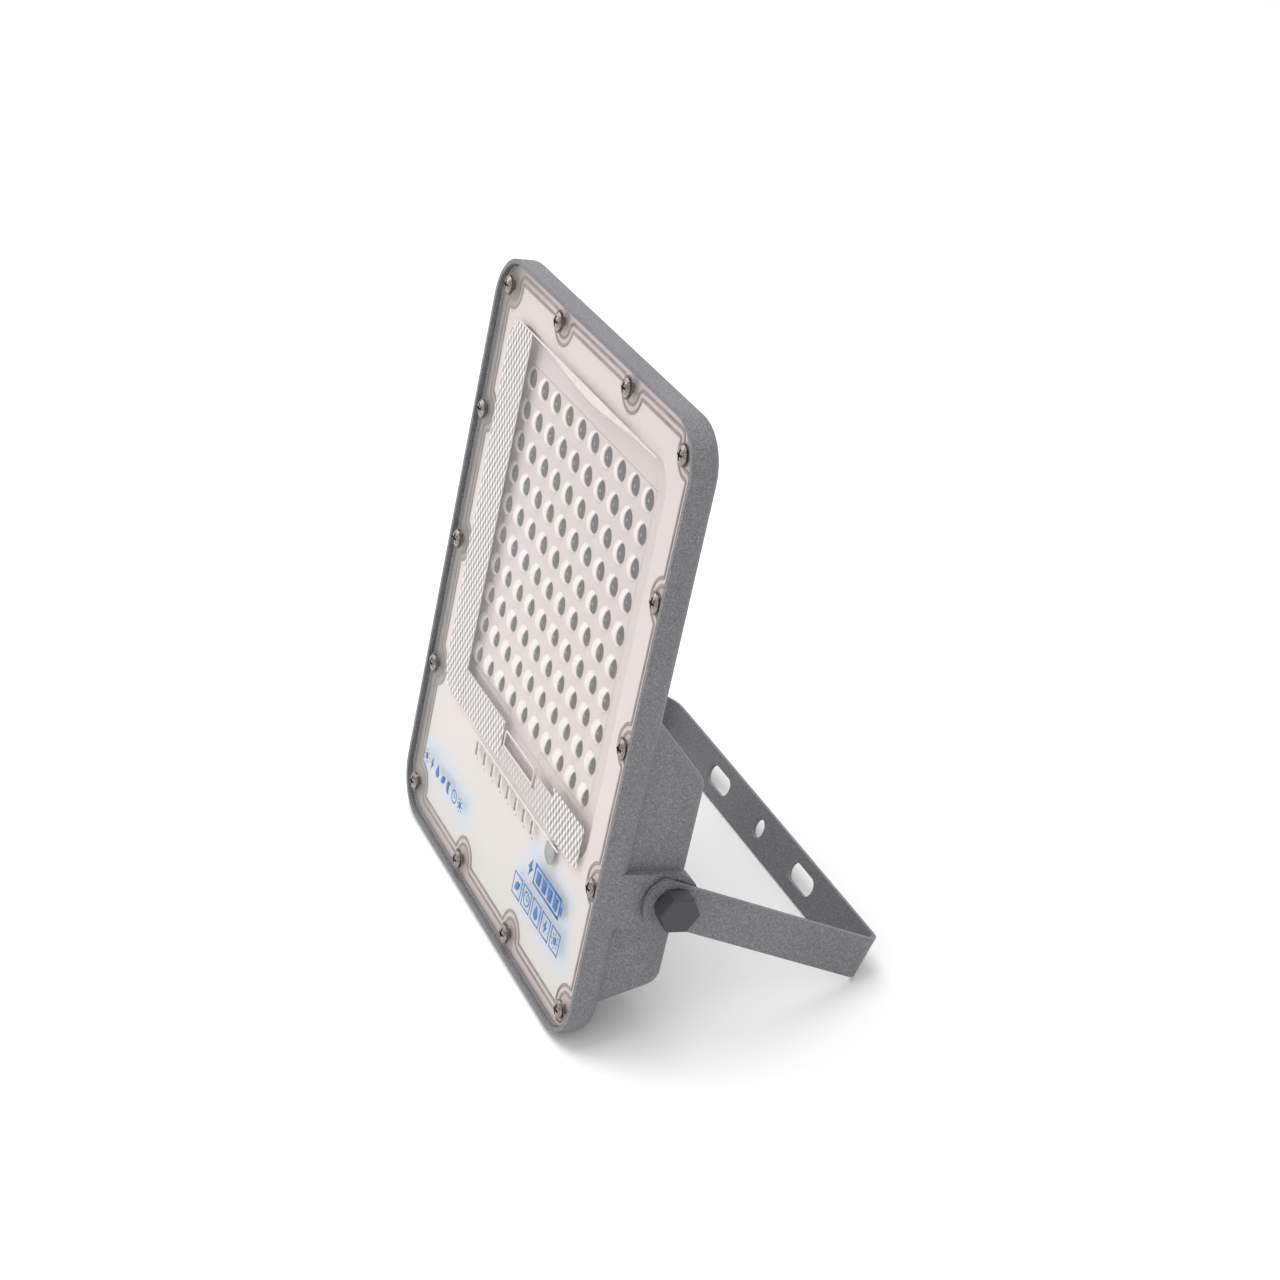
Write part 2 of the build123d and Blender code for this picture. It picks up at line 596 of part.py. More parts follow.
with BuildPart(face(strip_depth)) as remote_receiver:
    with Locations(EYE):
        Box(*RECEIVER, align=ON_TOP)
    with BuildSketch(face(strip_depth - RECEIVER[2] + 0.2)):
        with Locations(EYE):
            Circle(RECEIVER_DOME_R)
    extrude(amount=1.4)
    fillet(remote_receiver.faces().sort_by(FORWARD_AXIS)[-1].edges(), radius=1.0)
save(remote_receiver.part, "remote_receiver")

with BuildPart() as sensor_window:
    with BuildSketch(face(COVER_T + EYE_T)):
        with Locations(EYE):
            Circle(EYE_R)
    extrude(amount=EYE_T)
save(sensor_window.part, "sensor_window")

# ---------------------------------------------------------------- battery pack
column_xs = [PACK_X + way * CELL_COLUMN_PITCH / 2 for way in (-1, 1)]
row_spots = [(CELL_DEPTH, CELL_CENTRE_H + (i - (CELL_ROWS - 1) / 2) * CELL_PITCH) for i in range(CELL_ROWS)]
with BuildPart() as battery_cells:
    for x in column_xs:
        with BuildSketch(side(x - CELL_L / 2)):
            with Locations(*row_spots):
                Circle(CELL_R)
        extrude(amount=CELL_L)
save(battery_cells.part, "battery_cells")

with BuildPart() as cell_holders:
    for x in column_xs:
        for start in (x - CELL_L / 2 + 3, x + CELL_L / 2 - 3 - HOLDER_T):
            with BuildSketch(side(start)):
                with Locations((CELL_DEPTH, CELL_CENTRE_H)):
                    RectangleRounded(HOLDER_DEPTH, CELL_ROWS * CELL_PITCH + 2, 2)
                with Locations(*row_spots):
                    Circle(CELL_R + 0.1, mode=Mode.SUBTRACT)
            extrude(amount=HOLDER_T)
save(cell_holders.part, "cell_holders")

with BuildPart() as cell_straps:
    for x in column_xs:
        for start in (x - CELL_L / 2 - STRAP_T, x + CELL_L / 2):
            with BuildSketch(side(start)):
                with Locations((CELL_DEPTH, CELL_CENTRE_H)):
                    Rectangle(7, (CELL_ROWS - 1) * CELL_PITCH + 10)
            extrude(amount=STRAP_T)
save(cell_straps.part, "cell_straps")

pack_back = CELL_DEPTH + HOLDER_DEPTH / 2
with BuildPart() as foam_pads:
    with BuildSketch(face(BOX_BACK - BOX_WALL)):
        with Locations(*[(x, CELL_CENTRE_H) for x in column_xs]):
            Rectangle(CELL_L - 4, (CELL_ROWS - 1) * CELL_PITCH)
    extrude(amount=BOX_BACK - BOX_WALL - pack_back)
save(foam_pads.part, "foam_pads")

with BuildPart() as protection_board:
    with BuildSketch(side(PROTECTION_X)):
        with Locations((CELL_DEPTH, CELL_CENTRE_H)):
            Rectangle(*PROTECTION_SIZE)
    extrude(amount=PROTECTION_T)
    with BuildSketch(side(PROTECTION_X + PROTECTION_T)):
        with Locations((CELL_DEPTH, CELL_CENTRE_H)):
            with GridLocations(0, CHIP_STACK[3], 1, 4):
                Rectangle(*CHIP_STACK[:2])
    extrude(amount=CHIP_STACK[2])
save(protection_board.part, "protection_board")

# ---------------------------------------------------------------- controller
with BuildPart() as controller_board:
    with BuildSketch(face(CONTROL_DEPTH + PCB_T)):
        with Locations(CONTROL_CENTRE):
            Rectangle(*CONTROL_SIZE)
        with Locations(*control_screw_spots):
            Circle(SMALL_HOLE_R, mode=Mode.SUBTRACT)
    extrude(amount=PCB_T)
save(controller_board.part, "controller_board")

with BuildPart(face(CONTROL_DEPTH)) as controller_screws:
    with Locations(*control_screw_spots):
        add(small_screw)
save(controller_screws.part, "controller_screws")

with BuildPart(face(CONTROL_DEPTH)) as choke:
    with Locations(CHOKE_SPOT):
        Cylinder(CHOKE_SIZE[0], CHOKE_SIZE[2], align=ON_TOP)
        Cylinder(CHOKE_SIZE[1], CHOKE_SIZE[2], align=ON_TOP, mode=Mode.SUBTRACT)
    fillet(choke.edges().filter_by(GeomType.CIRCLE), radius=1.6)
save(choke.part, "choke")

with BuildPart(face(CONTROL_DEPTH)) as capacitors:
    with Locations(*CAPACITOR_SPOTS):
        Cylinder(*CAPACITOR_SIZE, align=ON_TOP)
    fillet(capacitors.faces().sort_by(FORWARD_AXIS)[-2:].edges(), radius=0.7)
save(capacitors.part, "capacitors")

with BuildPart(face(CONTROL_DEPTH)) as power_transistors:
    with Locations(*TRANSISTOR_SPOTS):
        Box(*TRANSISTOR_BODY, align=ON_TOP)
    with Locations(*[(x, h + TRANSISTOR_BODY[1] / 2 - TRANSISTOR_TAB[1] / 2) for x, h in TRANSISTOR_SPOTS]):
        Box(*TRANSISTOR_TAB, align=ON_TOP)
save(power_transistors.part, "power_transistors")

with BuildPart(face(CONTROL_DEPTH)) as controller_chip:
    with Locations(CHIP_SPOT):
        Box(*CHIP_BODY, align=ON_TOP)
save(controller_chip.part, "controller_chip")

with BuildPart(face(CONTROL_DEPTH)) as lead_sockets:
    with Locations(*SOCKET_SPOTS):
        Box(*SOCKET_SIZE, SOCKET_H, align=ON_TOP)
save(lead_sockets.part, "lead_sockets")


def lead(points, bend, radius):
    """Insulated lead: straight runs joined by tangent arcs."""
    with BuildPart() as wire:
        with BuildLine() as route:
            FilletPolyline(*[at(*point) for point in points], radius=bend)
        with BuildSketch(Plane(origin=route.line @ 0, z_dir=route.line % 0)):
            Circle(radius)
        sweep(path=route.line)
    length = sum(edge.length for edge in route.edges())
    fault = wire.part.volume / (math.pi * radius**2 * length) - 1
    print("lead", round(length, 1), "mm long, volume off by", round(fault, 6))
    return wire.part


socket_depth = CONTROL_DEPTH - SOCKET_H
led_x, led_h = LED_LEAD_HOLE
ind_x, ind_h = INDICATOR_LEAD_HOLE
board_edge = LED_BOARD_HALF + 0.05
led_wire_depth = board_front + PCB_T / 2
led_leads = lead(
    [(led_x, socket_depth, SOCKET_SPOTS[0][1]), (led_x, 17, SOCKET_SPOTS[0][1]), (led_x, 15.5, led_h)]
    + [(led_x, led_wire_depth, led_h), (board_edge, led_wire_depth, led_h)],
    2.0,
    LEAD_R,
)
save(led_leads, "led_leads")
ind_depth = FLOOR_FRONT - LEAD_R - 0.1
indicator_lead = lead(
    [(ind_x, socket_depth, ind_h), (ind_x, ind_depth, ind_h)]
    + [(STRIP_CENTRE_X + STRIP_SIZE[0] / 2 + 0.05, ind_depth, ind_h)],
    2.0,
    LEAD_R,
)
save(indicator_lead, "indicator_lead")
socket_x, socket_h = SOCKET_SPOTS[2]
for name, h in (("battery_lead_red", socket_h + 1.6), ("battery_lead_black", socket_h - 1.6)):
    start = (PROTECTION_X + PROTECTION_T, BATTERY_LEAD_DEPTH, h)
    turn = (socket_x, BATTERY_LEAD_DEPTH, h)
    save(lead([start, turn, (socket_x, socket_depth, h)], 2.2, BATTERY_LEAD_R), name)

# ---------------------------------------------------------------- gland and vent on the box's back
gland_x, gland_h = GLAND_SPOT
box_inner = BOX_BACK - BOX_WALL
with BuildPart() as gland_body:
    with BuildSketch(face(BOX_BACK + GLAND_HEX_T)):
        with Locations(GLAND_SPOT):
            RegularPolygon(GLAND_HEX_R, 6)
    extrude(amount=GLAND_HEX_T)
    with BuildSketch(face(BOX_BACK + GLAND_HEX_T + GLAND_NECK)):
        with Locations(GLAND_SPOT):
            Circle(GLAND_NECK_R)
    extrude(amount=GLAND_NECK)
    with BuildSketch(face(BOX_BACK)):
        with Locations(GLAND_SPOT):
            Circle(GLAND_THREAD_R)
    extrude(amount=BOX_WALL + GLAND_THREAD_END)
    with BuildSketch(face(BOX_BACK + GLAND_HEX_T + GLAND_NECK)):
        with Locations(GLAND_SPOT):
            Circle(GLAND_BORE_R)
    extrude(amount=GLAND_HEX_T + GLAND_NECK + BOX_WALL + GLAND_THREAD_END, mode=Mode.SUBTRACT)
save(gland_body.part, "gland_body")

with BuildPart() as gland_locknut:
    with BuildSketch(face(box_inner)):
        with Locations(GLAND_SPOT):
            RegularPolygon(GLAND_HEX_R, 6)
            Circle(GLAND_THREAD_R, mode=Mode.SUBTRACT)
    extrude(amount=LOCKNUT_T)
save(gland_locknut.part, "gland_locknut")

seal_end = BOX_BACK + GLAND_HEX_T + GLAND_NECK + SEAL_STANDS
with BuildPart() as gland_seal:
    with BuildSketch(face(seal_end)):
        with Locations(GLAND_SPOT):
            Circle(GLAND_BORE_R)
            Circle(LEAD_BORE_R, mode=Mode.SUBTRACT)
    extrude(amount=SEAL_LENGTH)
save(gland_seal.part, "gland_seal")

nut_start = BOX_BACK + GLAND_HEX_T + 0.3
nut_end = seal_end + 2.0
with BuildPart() as gland_nut:
    with BuildSketch(face(nut_start + GLAND_NUT_HEX_T)):
        with Locations(GLAND_SPOT):
            RegularPolygon(GLAND_HEX_R, 6)
    extrude(amount=GLAND_NUT_HEX_T)
    with BuildSketch(face(nut_end)):
        with Locations(GLAND_SPOT):
            Circle(GLAND_HEX_R * 0.84)
    extrude(amount=nut_end - nut_start - GLAND_NUT_HEX_T + 1)
    fillet(gland_nut.faces().sort_by(FORWARD_AXIS)[0].edges(), radius=2.0)
    with BuildSketch(face(seal_end)):
        with Locations(GLAND_SPOT):
            Circle(GLAND_NECK_R)
    extrude(amount=seal_end - nut_start, mode=Mode.SUBTRACT)
    with BuildSketch(face(nut_end)):
        with Locations(GLAND_SPOT):
            Circle(LEAD_BORE_R + 0.6)
    extrude(amount=nut_end - seal_end, mode=Mode.SUBTRACT)
save(gland_nut.part, "gland_nut")

with BuildPart() as vent_plug:
    with BuildSketch(face(BOX_BACK + VENT_HEAD[1])):
        with Locations(VENT_SPOT):
            Circle(VENT_HEAD[0])
    extrude(amount=VENT_HEAD[1])
    fillet(vent_plug.faces().sort_by(FORWARD_AXIS)[0].edges(), radius=1.2)
    with BuildSketch(face(BOX_BACK)):
        with Locations(VENT_SPOT):
            Circle(VENT_R)
    extrude(amount=BOX_WALL + 1.5)
save(vent_plug.part, "vent_plug")

# ---------------------------------------------------------------- tilt joint and bracket
arm_inner = EAR_X + WASHER_T + JOINT_GAP
arm_outer = arm_inner + ARM_T
washer_outer = arm_outer + JOINT_GAP
head_seat = washer_outer + WASHER_T

with BuildPart() as friction_washers:  # toothed washers between ear and arm
    with BuildSketch(side(EAR_X)):
        with Locations(PIVOT):
            Circle(FRICTION_WASHER_R)
            with PolarLocations(FRICTION_WASHER_R, WASHER_TEETH):
                Circle(TOOTH_R, mode=Mode.SUBTRACT)
            Circle(BOLT_R + 0.1, mode=Mode.SUBTRACT)
    extrude(amount=WASHER_T)
    mirror(about=Plane.YZ)
save(friction_washers.part, "friction_washers")

with BuildPart() as plain_washers:
    with BuildSketch(side(washer_outer)):
        with Locations(PIVOT):
            Circle(PLAIN_WASHER_R)
            Circle(BOLT_R + 0.1, mode=Mode.SUBTRACT)
    extrude(amount=WASHER_T)
    mirror(about=Plane.YZ)
save(plain_washers.part, "plain_washers")

with BuildPart() as tilt_bolts:
    with BuildSketch(side(head_seat)):
        with Locations(PIVOT):
            RegularPolygon(BOLT_AF / 2, 6, major_radius=False)
    extrude(amount=BOLT_HEAD_H)
    with BuildSketch(side(head_seat)):
        with Locations(PIVOT):
            Circle(BOLT_R)
    extrude(amount=-BOLT_LENGTH)
    mirror(about=Plane.YZ)
save(tilt_bolts.part, "tilt_bolts")

with BuildPart() as bolt_caps:
    with BuildSketch(side(head_seat)):
        with Locations(PIVOT):
            RegularPolygon(CAP_AF / 2, 6, major_radius=False)
    extrude(amount=CAP_H)
    chamfer(bolt_caps.faces().sort_by(Axis.X)[-1].edges(), length=0.7)
    with BuildSketch(side(head_seat)):
        with Locations(PIVOT):
            RegularPolygon(BOLT_AF / 2 + 0.05, 6, major_radius=False)
    extrude(amount=BOLT_HEAD_H + 0.05, mode=Mode.SUBTRACT)
    mirror(about=Plane.YZ)
save(bolt_caps.part, "bolt_caps")

ARM_WAY = BACKWARD * math.cos(arm) - UPWARD * math.sin(arm)
U_PLANE = Plane(origin=at(0, *PIVOT), x_dir=(1, 0, 0), z_dir=Vector(1, 0, 0).cross(ARM_WAY))
ARM_SIDE = Plane(origin=at(0, *PIVOT), x_dir=ARM_WAY, z_dir=(1, 0, 0))
CROSSBAR = Plane(
    origin=at(0, *PIVOT) + ARM_WAY * OUTER_REACH, x_dir=(1, 0, 0), z_dir=ARM_WAY
)
with BuildPart() as bracket:
    with BuildSketch(U_PLANE) as strip:  # the bent strip, seen along its width
        with BuildLine():
            Polyline((-arm_outer, -ARM_END_R), (-arm_outer, OUTER_REACH), (arm_outer, OUTER_REACH))
            Line((arm_outer, OUTER_REACH), (arm_outer, -ARM_END_R))
            Polyline((arm_outer, -ARM_END_R), (arm_inner, -ARM_END_R), (arm_inner, ARM_REACH))
            Polyline((arm_inner, ARM_REACH), (-arm_inner, ARM_REACH), (-arm_inner, -ARM_END_R))
            Line((-arm_inner, -ARM_END_R), (-arm_outer, -ARM_END_R))
        make_face()
        outer_bends = strip.vertices().group_by(Axis.Y)[-1]
        fillet(outer_bends, radius=ARM_BEND_R + ARM_T)
        inner_bends = strip.vertices().filter_by_position(Axis.Y, ARM_REACH - 0.01, ARM_REACH + 0.01)
        fillet(inner_bends, radius=ARM_BEND_R)
    extrude(amount=ARM_HALF_W, both=True)
    with BuildSketch(ARM_SIDE):
        Circle(ARM_END_R)
        with Locations((OUTER_REACH / 2, 0)):
            Rectangle(OUTER_REACH + 2, 2 * ARM_HALF_W + 1)
    extrude(amount=FACE_W, both=True, mode=Mode.INTERSECT)
    with BuildSketch(ARM_SIDE):
        Circle(BOLT_R + BOLT_RUNNING)
    extrude(amount=FACE_W, both=True, mode=Mode.SUBTRACT)
    with BuildSketch(CROSSBAR):
        Circle(HOLE_R)
        with GridLocations(SLOT_SPACING, 0, 2, 1):
            SlotOverall(SLOT_LENGTH, 2 * HOLE_R)
    extrude(amount=-ARM_T, mode=Mode.SUBTRACT)
save(bracket.part, "bracket")

whole = Compound(children=[housing.part, bracket.part, bolt_caps.part, cover_screws.part])
box = whole.bounding_box()
print("overall", round(box.size.X, 2), round(box.size.Y, 2), round(box.size.Z, 2), "mm")
print("lowest", round(box.min.Z, 4), "middle", round(box.center().X, 4), round(box.center().Y, 4))
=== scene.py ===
# %% [markdown]
# A portable LED flood light that stands like an easel on its own bracket. The machined and cast parts come
# ready from the CAD model, and this file gives them their finishes. What a CAD model leaves plain is built
# here: the moulded lenses, the prisms of the front cover, the seal lines and the printed pictograms, and with
# them some painted shade and painted highlights on the lenses, the seal, the screws, the indicators and the
# cover's border. Everything is in metres in the CAD frame: +X right, +Y back, +Z up.

# %% Load the frame
import json
import math

import bpy
import numpy as np
from mathutils import Matrix, Vector


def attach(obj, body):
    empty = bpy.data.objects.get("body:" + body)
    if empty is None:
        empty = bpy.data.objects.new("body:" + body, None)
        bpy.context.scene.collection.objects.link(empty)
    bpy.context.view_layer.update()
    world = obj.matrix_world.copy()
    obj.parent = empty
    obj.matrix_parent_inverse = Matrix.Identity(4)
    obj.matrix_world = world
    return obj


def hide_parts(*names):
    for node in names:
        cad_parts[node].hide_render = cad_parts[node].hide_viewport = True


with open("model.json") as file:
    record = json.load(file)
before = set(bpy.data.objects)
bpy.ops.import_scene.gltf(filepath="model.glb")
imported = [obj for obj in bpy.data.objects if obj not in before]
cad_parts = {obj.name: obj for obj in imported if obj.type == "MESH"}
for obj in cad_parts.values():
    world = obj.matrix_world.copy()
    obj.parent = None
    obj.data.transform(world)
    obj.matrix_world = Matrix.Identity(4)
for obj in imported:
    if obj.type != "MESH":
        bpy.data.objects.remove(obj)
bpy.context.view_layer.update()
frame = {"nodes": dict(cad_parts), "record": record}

# %% [markdown]
# The head leans back, so it is easier to place things in its own coordinates: x across, depth
# back from the cover's front face, and height up the face from the middle. One function turns
# those, in millimetres, into points of the frame. Every new piece on the head goes through it.

# %% Head coordinates
LEAN = 0.250851422  # radians that the head leans back
HEAD_Y = -37.012389  # the cover's middle in the frame, mm
HEAD_Z = 133.529023
HEAD = "head"


def on_head(x, depth, height):
    """Points of the head in the frame: depth and height are turned by the lean about X, then
    moved to the cover's middle, and millimetres become metres."""
    x, depth, height = np.broadcast_arrays(x, depth, height)
    y = depth * math.cos(LEAN) + height * math.sin(LEAN) + HEAD_Y
    z = height * math.cos(LEAN) - depth * math.sin(LEAN) + HEAD_Z
    return np.stack([x, y, z], axis=-1) * 0.001


def off_head(points):
    """The way back: frame points in metres to x, depth and height in millimetres."""
    x, y, z = (np.asarray(points) * 1000).T
    y, z = y - HEAD_Y, z - HEAD_Z
    return x, y * math.cos(LEAN) - z * math.sin(LEAN), y * math.sin(LEAN) + z * math.cos(LEAN)


print("middle of the cover", on_head(0, 0, 0))

# %% [markdown]
# The camera stands to the right of the lamp, looks down on it and leans a little to one side.
# It is placed by a point to look at, a distance, an azimuth round the lamp and an elevation, in
# degrees turned to radians, and the roll is turned in last.

# %% Camera
LOOK_AT = Vector((0.0174, 0.0038, 0.1310))
CAMERA_DISTANCE = 1.092
CAMERA_AZIMUTH = math.radians(68.79)
CAMERA_ELEVATION = math.radians(29.20)
CAMERA_ROLL = math.radians(1.97)

back = Vector((
    math.sin(CAMERA_AZIMUTH) * math.cos(CAMERA_ELEVATION),
    -math.cos(CAMERA_AZIMUTH) * math.cos(CAMERA_ELEVATION),
    math.sin(CAMERA_ELEVATION),
))
right = Vector((0, 0, 1)).cross(back).normalized()
up = back.cross(right)
rolled_right = right * math.cos(CAMERA_ROLL) - up * math.sin(CAMERA_ROLL)
rolled_up = up * math.cos(CAMERA_ROLL) + right * math.sin(CAMERA_ROLL)
turn = Matrix((rolled_right, rolled_up, back)).transposed()
camera = bpy.data.objects.new("camera", bpy.data.cameras.new("camera"))
camera.matrix_world = Matrix.Translation(LOOK_AT + back * CAMERA_DISTANCE) @ turn.to_4x4()
camera.data.lens = 73.13
camera.data.sensor_width = 36.0
camera.data.clip_start = 0.01
bpy.context.scene.collection.objects.link(camera)
bpy.context.scene.camera = camera
print("camera at", camera.location, "up", rolled_up)

# %% [markdown]
# A pale floor under a plain white studio: a white world lights everything evenly, and two large
# soft panels give the top edges and the glossy cover something brighter to catch. The standard
# view keeps white as white.

# %% Studio
scene = bpy.context.scene
scene.view_settings.view_transform = "Standard"
world = bpy.data.worlds.new("studio")
world.use_nodes = True
world.node_tree.nodes["Background"].inputs["Color"].default_value = (1.0, 1.0, 1.0, 1.0)
world.node_tree.nodes["Background"].inputs["Strength"].default_value = 0.86
scene.world = world


def soft_panel(name, place, size, watts):
    """A square area light at a place, facing the lamp."""
    light = bpy.data.lights.new(name, "AREA")
    light.size = size
    light.energy = watts
    panel = bpy.data.objects.new(name, light)
    panel.location = place
    panel.rotation_euler = (Vector(place) - LOOK_AT).to_track_quat("Z", "Y").to_euler()
    scene.collection.objects.link(panel)


soft_panel("panel_above", (-0.3, -0.1, 1.6), 1.2, 15.0)
soft_panel("panel_left", (-1.2, -1.0, 0.9), 1.0, 5.0)

FLOOR_HALF = 6.0
floor_mesh = bpy.data.meshes.new("floor")
floor_mesh.from_pydata(
    [(sx * FLOOR_HALF, sy * FLOOR_HALF, -0.0002) for sx, sy in ((-1, -1), (1, -1), (1, 1), (-1, 1))],
    [], [(0, 1, 2, 3)])
floor = bpy.data.objects.new("floor", floor_mesh)
scene.collection.objects.link(floor)
paper = bpy.data.materials.new("pale_paper")
paper.use_nodes = True
paper.node_tree.nodes["Principled BSDF"].inputs["Base Color"].default_value = (0.93, 0.93, 0.93, 1)
paper.node_tree.nodes["Principled BSDF"].inputs["Roughness"].default_value = 0.9
floor_mesh.materials.append(paper)
print("floor", FLOOR_HALF * 2, "m wide")

# %% [markdown]
# Materials are small node trees. Most real finishes differ in grain: powder coat is a fine sandy
# skin, moulded plastic a faint orange peel, metal a brushed streak. One function builds all of
# them from object coordinates: a noise sets the colour between two shades and lifts the surface.

# %% A grained finish
def blank(name):
    """A new material with its tree, its Principled shader and its object coordinates."""
    material = bpy.data.materials.new(name)
    material.use_nodes = True
    tree = material.node_tree
    shader = tree.nodes["Principled BSDF"]
    place = tree.nodes.new("ShaderNodeTexCoord").outputs["Object"]
    return material, tree, shader, place


def noise(tree, place, grain, detail=3.0, stretch=(1, 1, 1)):
    """Noise whose grains are that many millimetres wide, longer along an axis of small stretch."""
    mapping = tree.nodes.new("ShaderNodeMapping")
    mapping.inputs["Scale"].default_value = stretch
    tree.links.new(place, mapping.inputs["Vector"])
    grainy = tree.nodes.new("ShaderNodeTexNoise")
    grainy.inputs["Scale"].default_value = 1000 / grain
    grainy.inputs["Detail"].default_value = detail
    tree.links.new(mapping.outputs["Vector"], grainy.inputs["Vector"])
    return grainy.outputs["Fac"]


def ramp(tree, value, stops):
    """Colour that follows value through (position, colour) stops."""
    node = tree.nodes.new("ShaderNodeValToRGB")
    for stop, (position, colour) in zip((0, 1), (stops[0], stops[-1])):
        node.color_ramp.elements[stop].position = position
        node.color_ramp.elements[stop].color = (*colour, 1)
    for position, colour in stops[1:-1]:
        node.color_ramp.elements.new(position).color = (*colour, 1)
    tree.links.new(value, node.inputs["Fac"])
    return node.outputs["Color"]


def lift(tree, height, shader, depth, strength=1.0):
    """Bump of that many millimetres on a shader's normal."""
    bump = tree.nodes.new("ShaderNodeBump")
    bump.inputs["Distance"].default_value = depth / 1000
    bump.inputs["Strength"].default_value = strength
    tree.links.new(height, bump.inputs["Height"])
    tree.links.new(bump.outputs["Normal"], shader.inputs["Normal"])


def grained(name, dark, light, grain, depth, rough, metallic=0.0, stretch=(1, 1, 1), spread=0.2, coat=0.0):
    """A solid finish: noise of that grain goes from the dark to the light shade, and lifts the skin."""
    material, tree, shader, place = blank(name)
    skin = noise(tree, place, grain, stretch=stretch)
    colour = ramp(tree, skin, [(0.5 - spread, dark), (0.5 + spread, light)])
    tree.links.new(colour, shader.inputs["Base Color"])
    lift(tree, skin, shader, depth)
    shader.inputs["Roughness"].default_value = rough
    shader.inputs["Metallic"].default_value = metallic
    shader.inputs["Coat Weight"].default_value = coat
    return material


print("noise, ramp and bump are ready")

# %% [markdown]
# The housing and bracket are die cast and bent steel under the same sand-texture powder coat: a
# mid grey skin with lighter and darker specks less than a millimetre wide. Two noises are used,
# one for the fine speckle and one for slow clouds of shade that a sprayed coat always has.

# %% Powder coat
COAT_STOPS = ((0.30, 0.66), (0.5, 1.0), (0.62, 1.25), (0.72, 1.7))


def powder_coat(name, shade):
    """Sandy coat: a fine speckle of dark and light points on a slow cloud, each round a grey shade."""
    material, tree, shader, place = blank(name)
    speckle = noise(tree, place, 0.66, detail=4.0)
    grey = [shade * 1.0, shade * 0.99, shade * 1.05]
    stops = [(place_at, [v * times for v in grey]) for place_at, times in COAT_STOPS]
    colour = ramp(tree, speckle, stops)
    cloud = ramp(tree, noise(tree, place, 60.0), [(0.3, (0.88, 0.88, 0.88)), (0.7, (1, 1, 1))])
    mix = tree.nodes.new("ShaderNodeMix")
    mix.data_type = "RGBA"
    mix.blend_type = "MULTIPLY"
    mix.inputs["Factor"].default_value = 1.0
    tree.links.new(colour, mix.inputs["A"])
    tree.links.new(cloud, mix.inputs["B"])
    tree.links.new(mix.outputs["Result"], shader.inputs["Base Color"])
    lift(tree, speckle, shader, 0.12, 0.8)
    shader.inputs["Roughness"].default_value = 0.55
    shader.inputs["Specular IOR Level"].default_value = 0.35
    return material


coat_grey = powder_coat("grey_powder_coat", 0.185)
print(coat_grey.name)

# %% [markdown]
# Clear plastic is see-through head on and bright at a glancing angle. A full refraction would
# need many samples to settle, and this cover is thin and flat, so it bends nothing that matters.
# It is made as a transparent shader under a glossy one, and the angle to the eye says how much
# of each shows. A Fresnel node isn't used, because a ray that hasn't been bent would be thrown
# back inside the wall by it.

# %% Clear plastic
def clear(name, tint, rough, least=0.04):
    """A thin clear wall: the share of gloss is the least share, and rises to all of it with the
    fifth power of how far the wall is turned from the eye."""
    material, tree, shader, place = blank(name)
    tree.nodes.remove(shader)
    through = tree.nodes.new("ShaderNodeBsdfTransparent")
    through.inputs["Color"].default_value = (*tint, 1)
    gloss = tree.nodes.new("ShaderNodeBsdfGlossy")
    gloss.inputs["Roughness"].default_value = rough
    weight = tree.nodes.new("ShaderNodeLayerWeight")
    weight.inputs["Blend"].default_value = 0.5
    power = tree.nodes.new("ShaderNodeMath")
    power.operation = "POWER"
    power.inputs[1].default_value = 5.0
    tree.links.new(weight.outputs["Facing"], power.inputs[0])
    share = tree.nodes.new("ShaderNodeMath")
    share.operation = "MULTIPLY_ADD"
    share.inputs[1].default_value = 1 - least
    share.inputs[2].default_value = least
    tree.links.new(power.outputs["Value"], share.inputs[0])
    bump = tree.nodes.new("ShaderNodeBump")
    bump.inputs["Distance"].default_value = 0.00002
    tree.links.new(noise(tree, place, 9.0, detail=1.0), bump.inputs["Height"])
    tree.links.new(bump.outputs["Normal"], gloss.inputs["Normal"])
    mix = tree.nodes.new("ShaderNodeMixShader")
    tree.links.new(share.outputs["Value"], mix.inputs["Fac"])
    tree.links.new(through.outputs["BSDF"], mix.inputs[1])
    tree.links.new(gloss.outputs["BSDF"], mix.inputs[2])
    tree.links.new(mix.outputs["Shader"], tree.nodes["Material Output"].inputs["Surface"])
    return material


clear_cover = clear("clear_cover", (0.965, 0.955, 0.95), 0.08)
print(clear_cover.name)
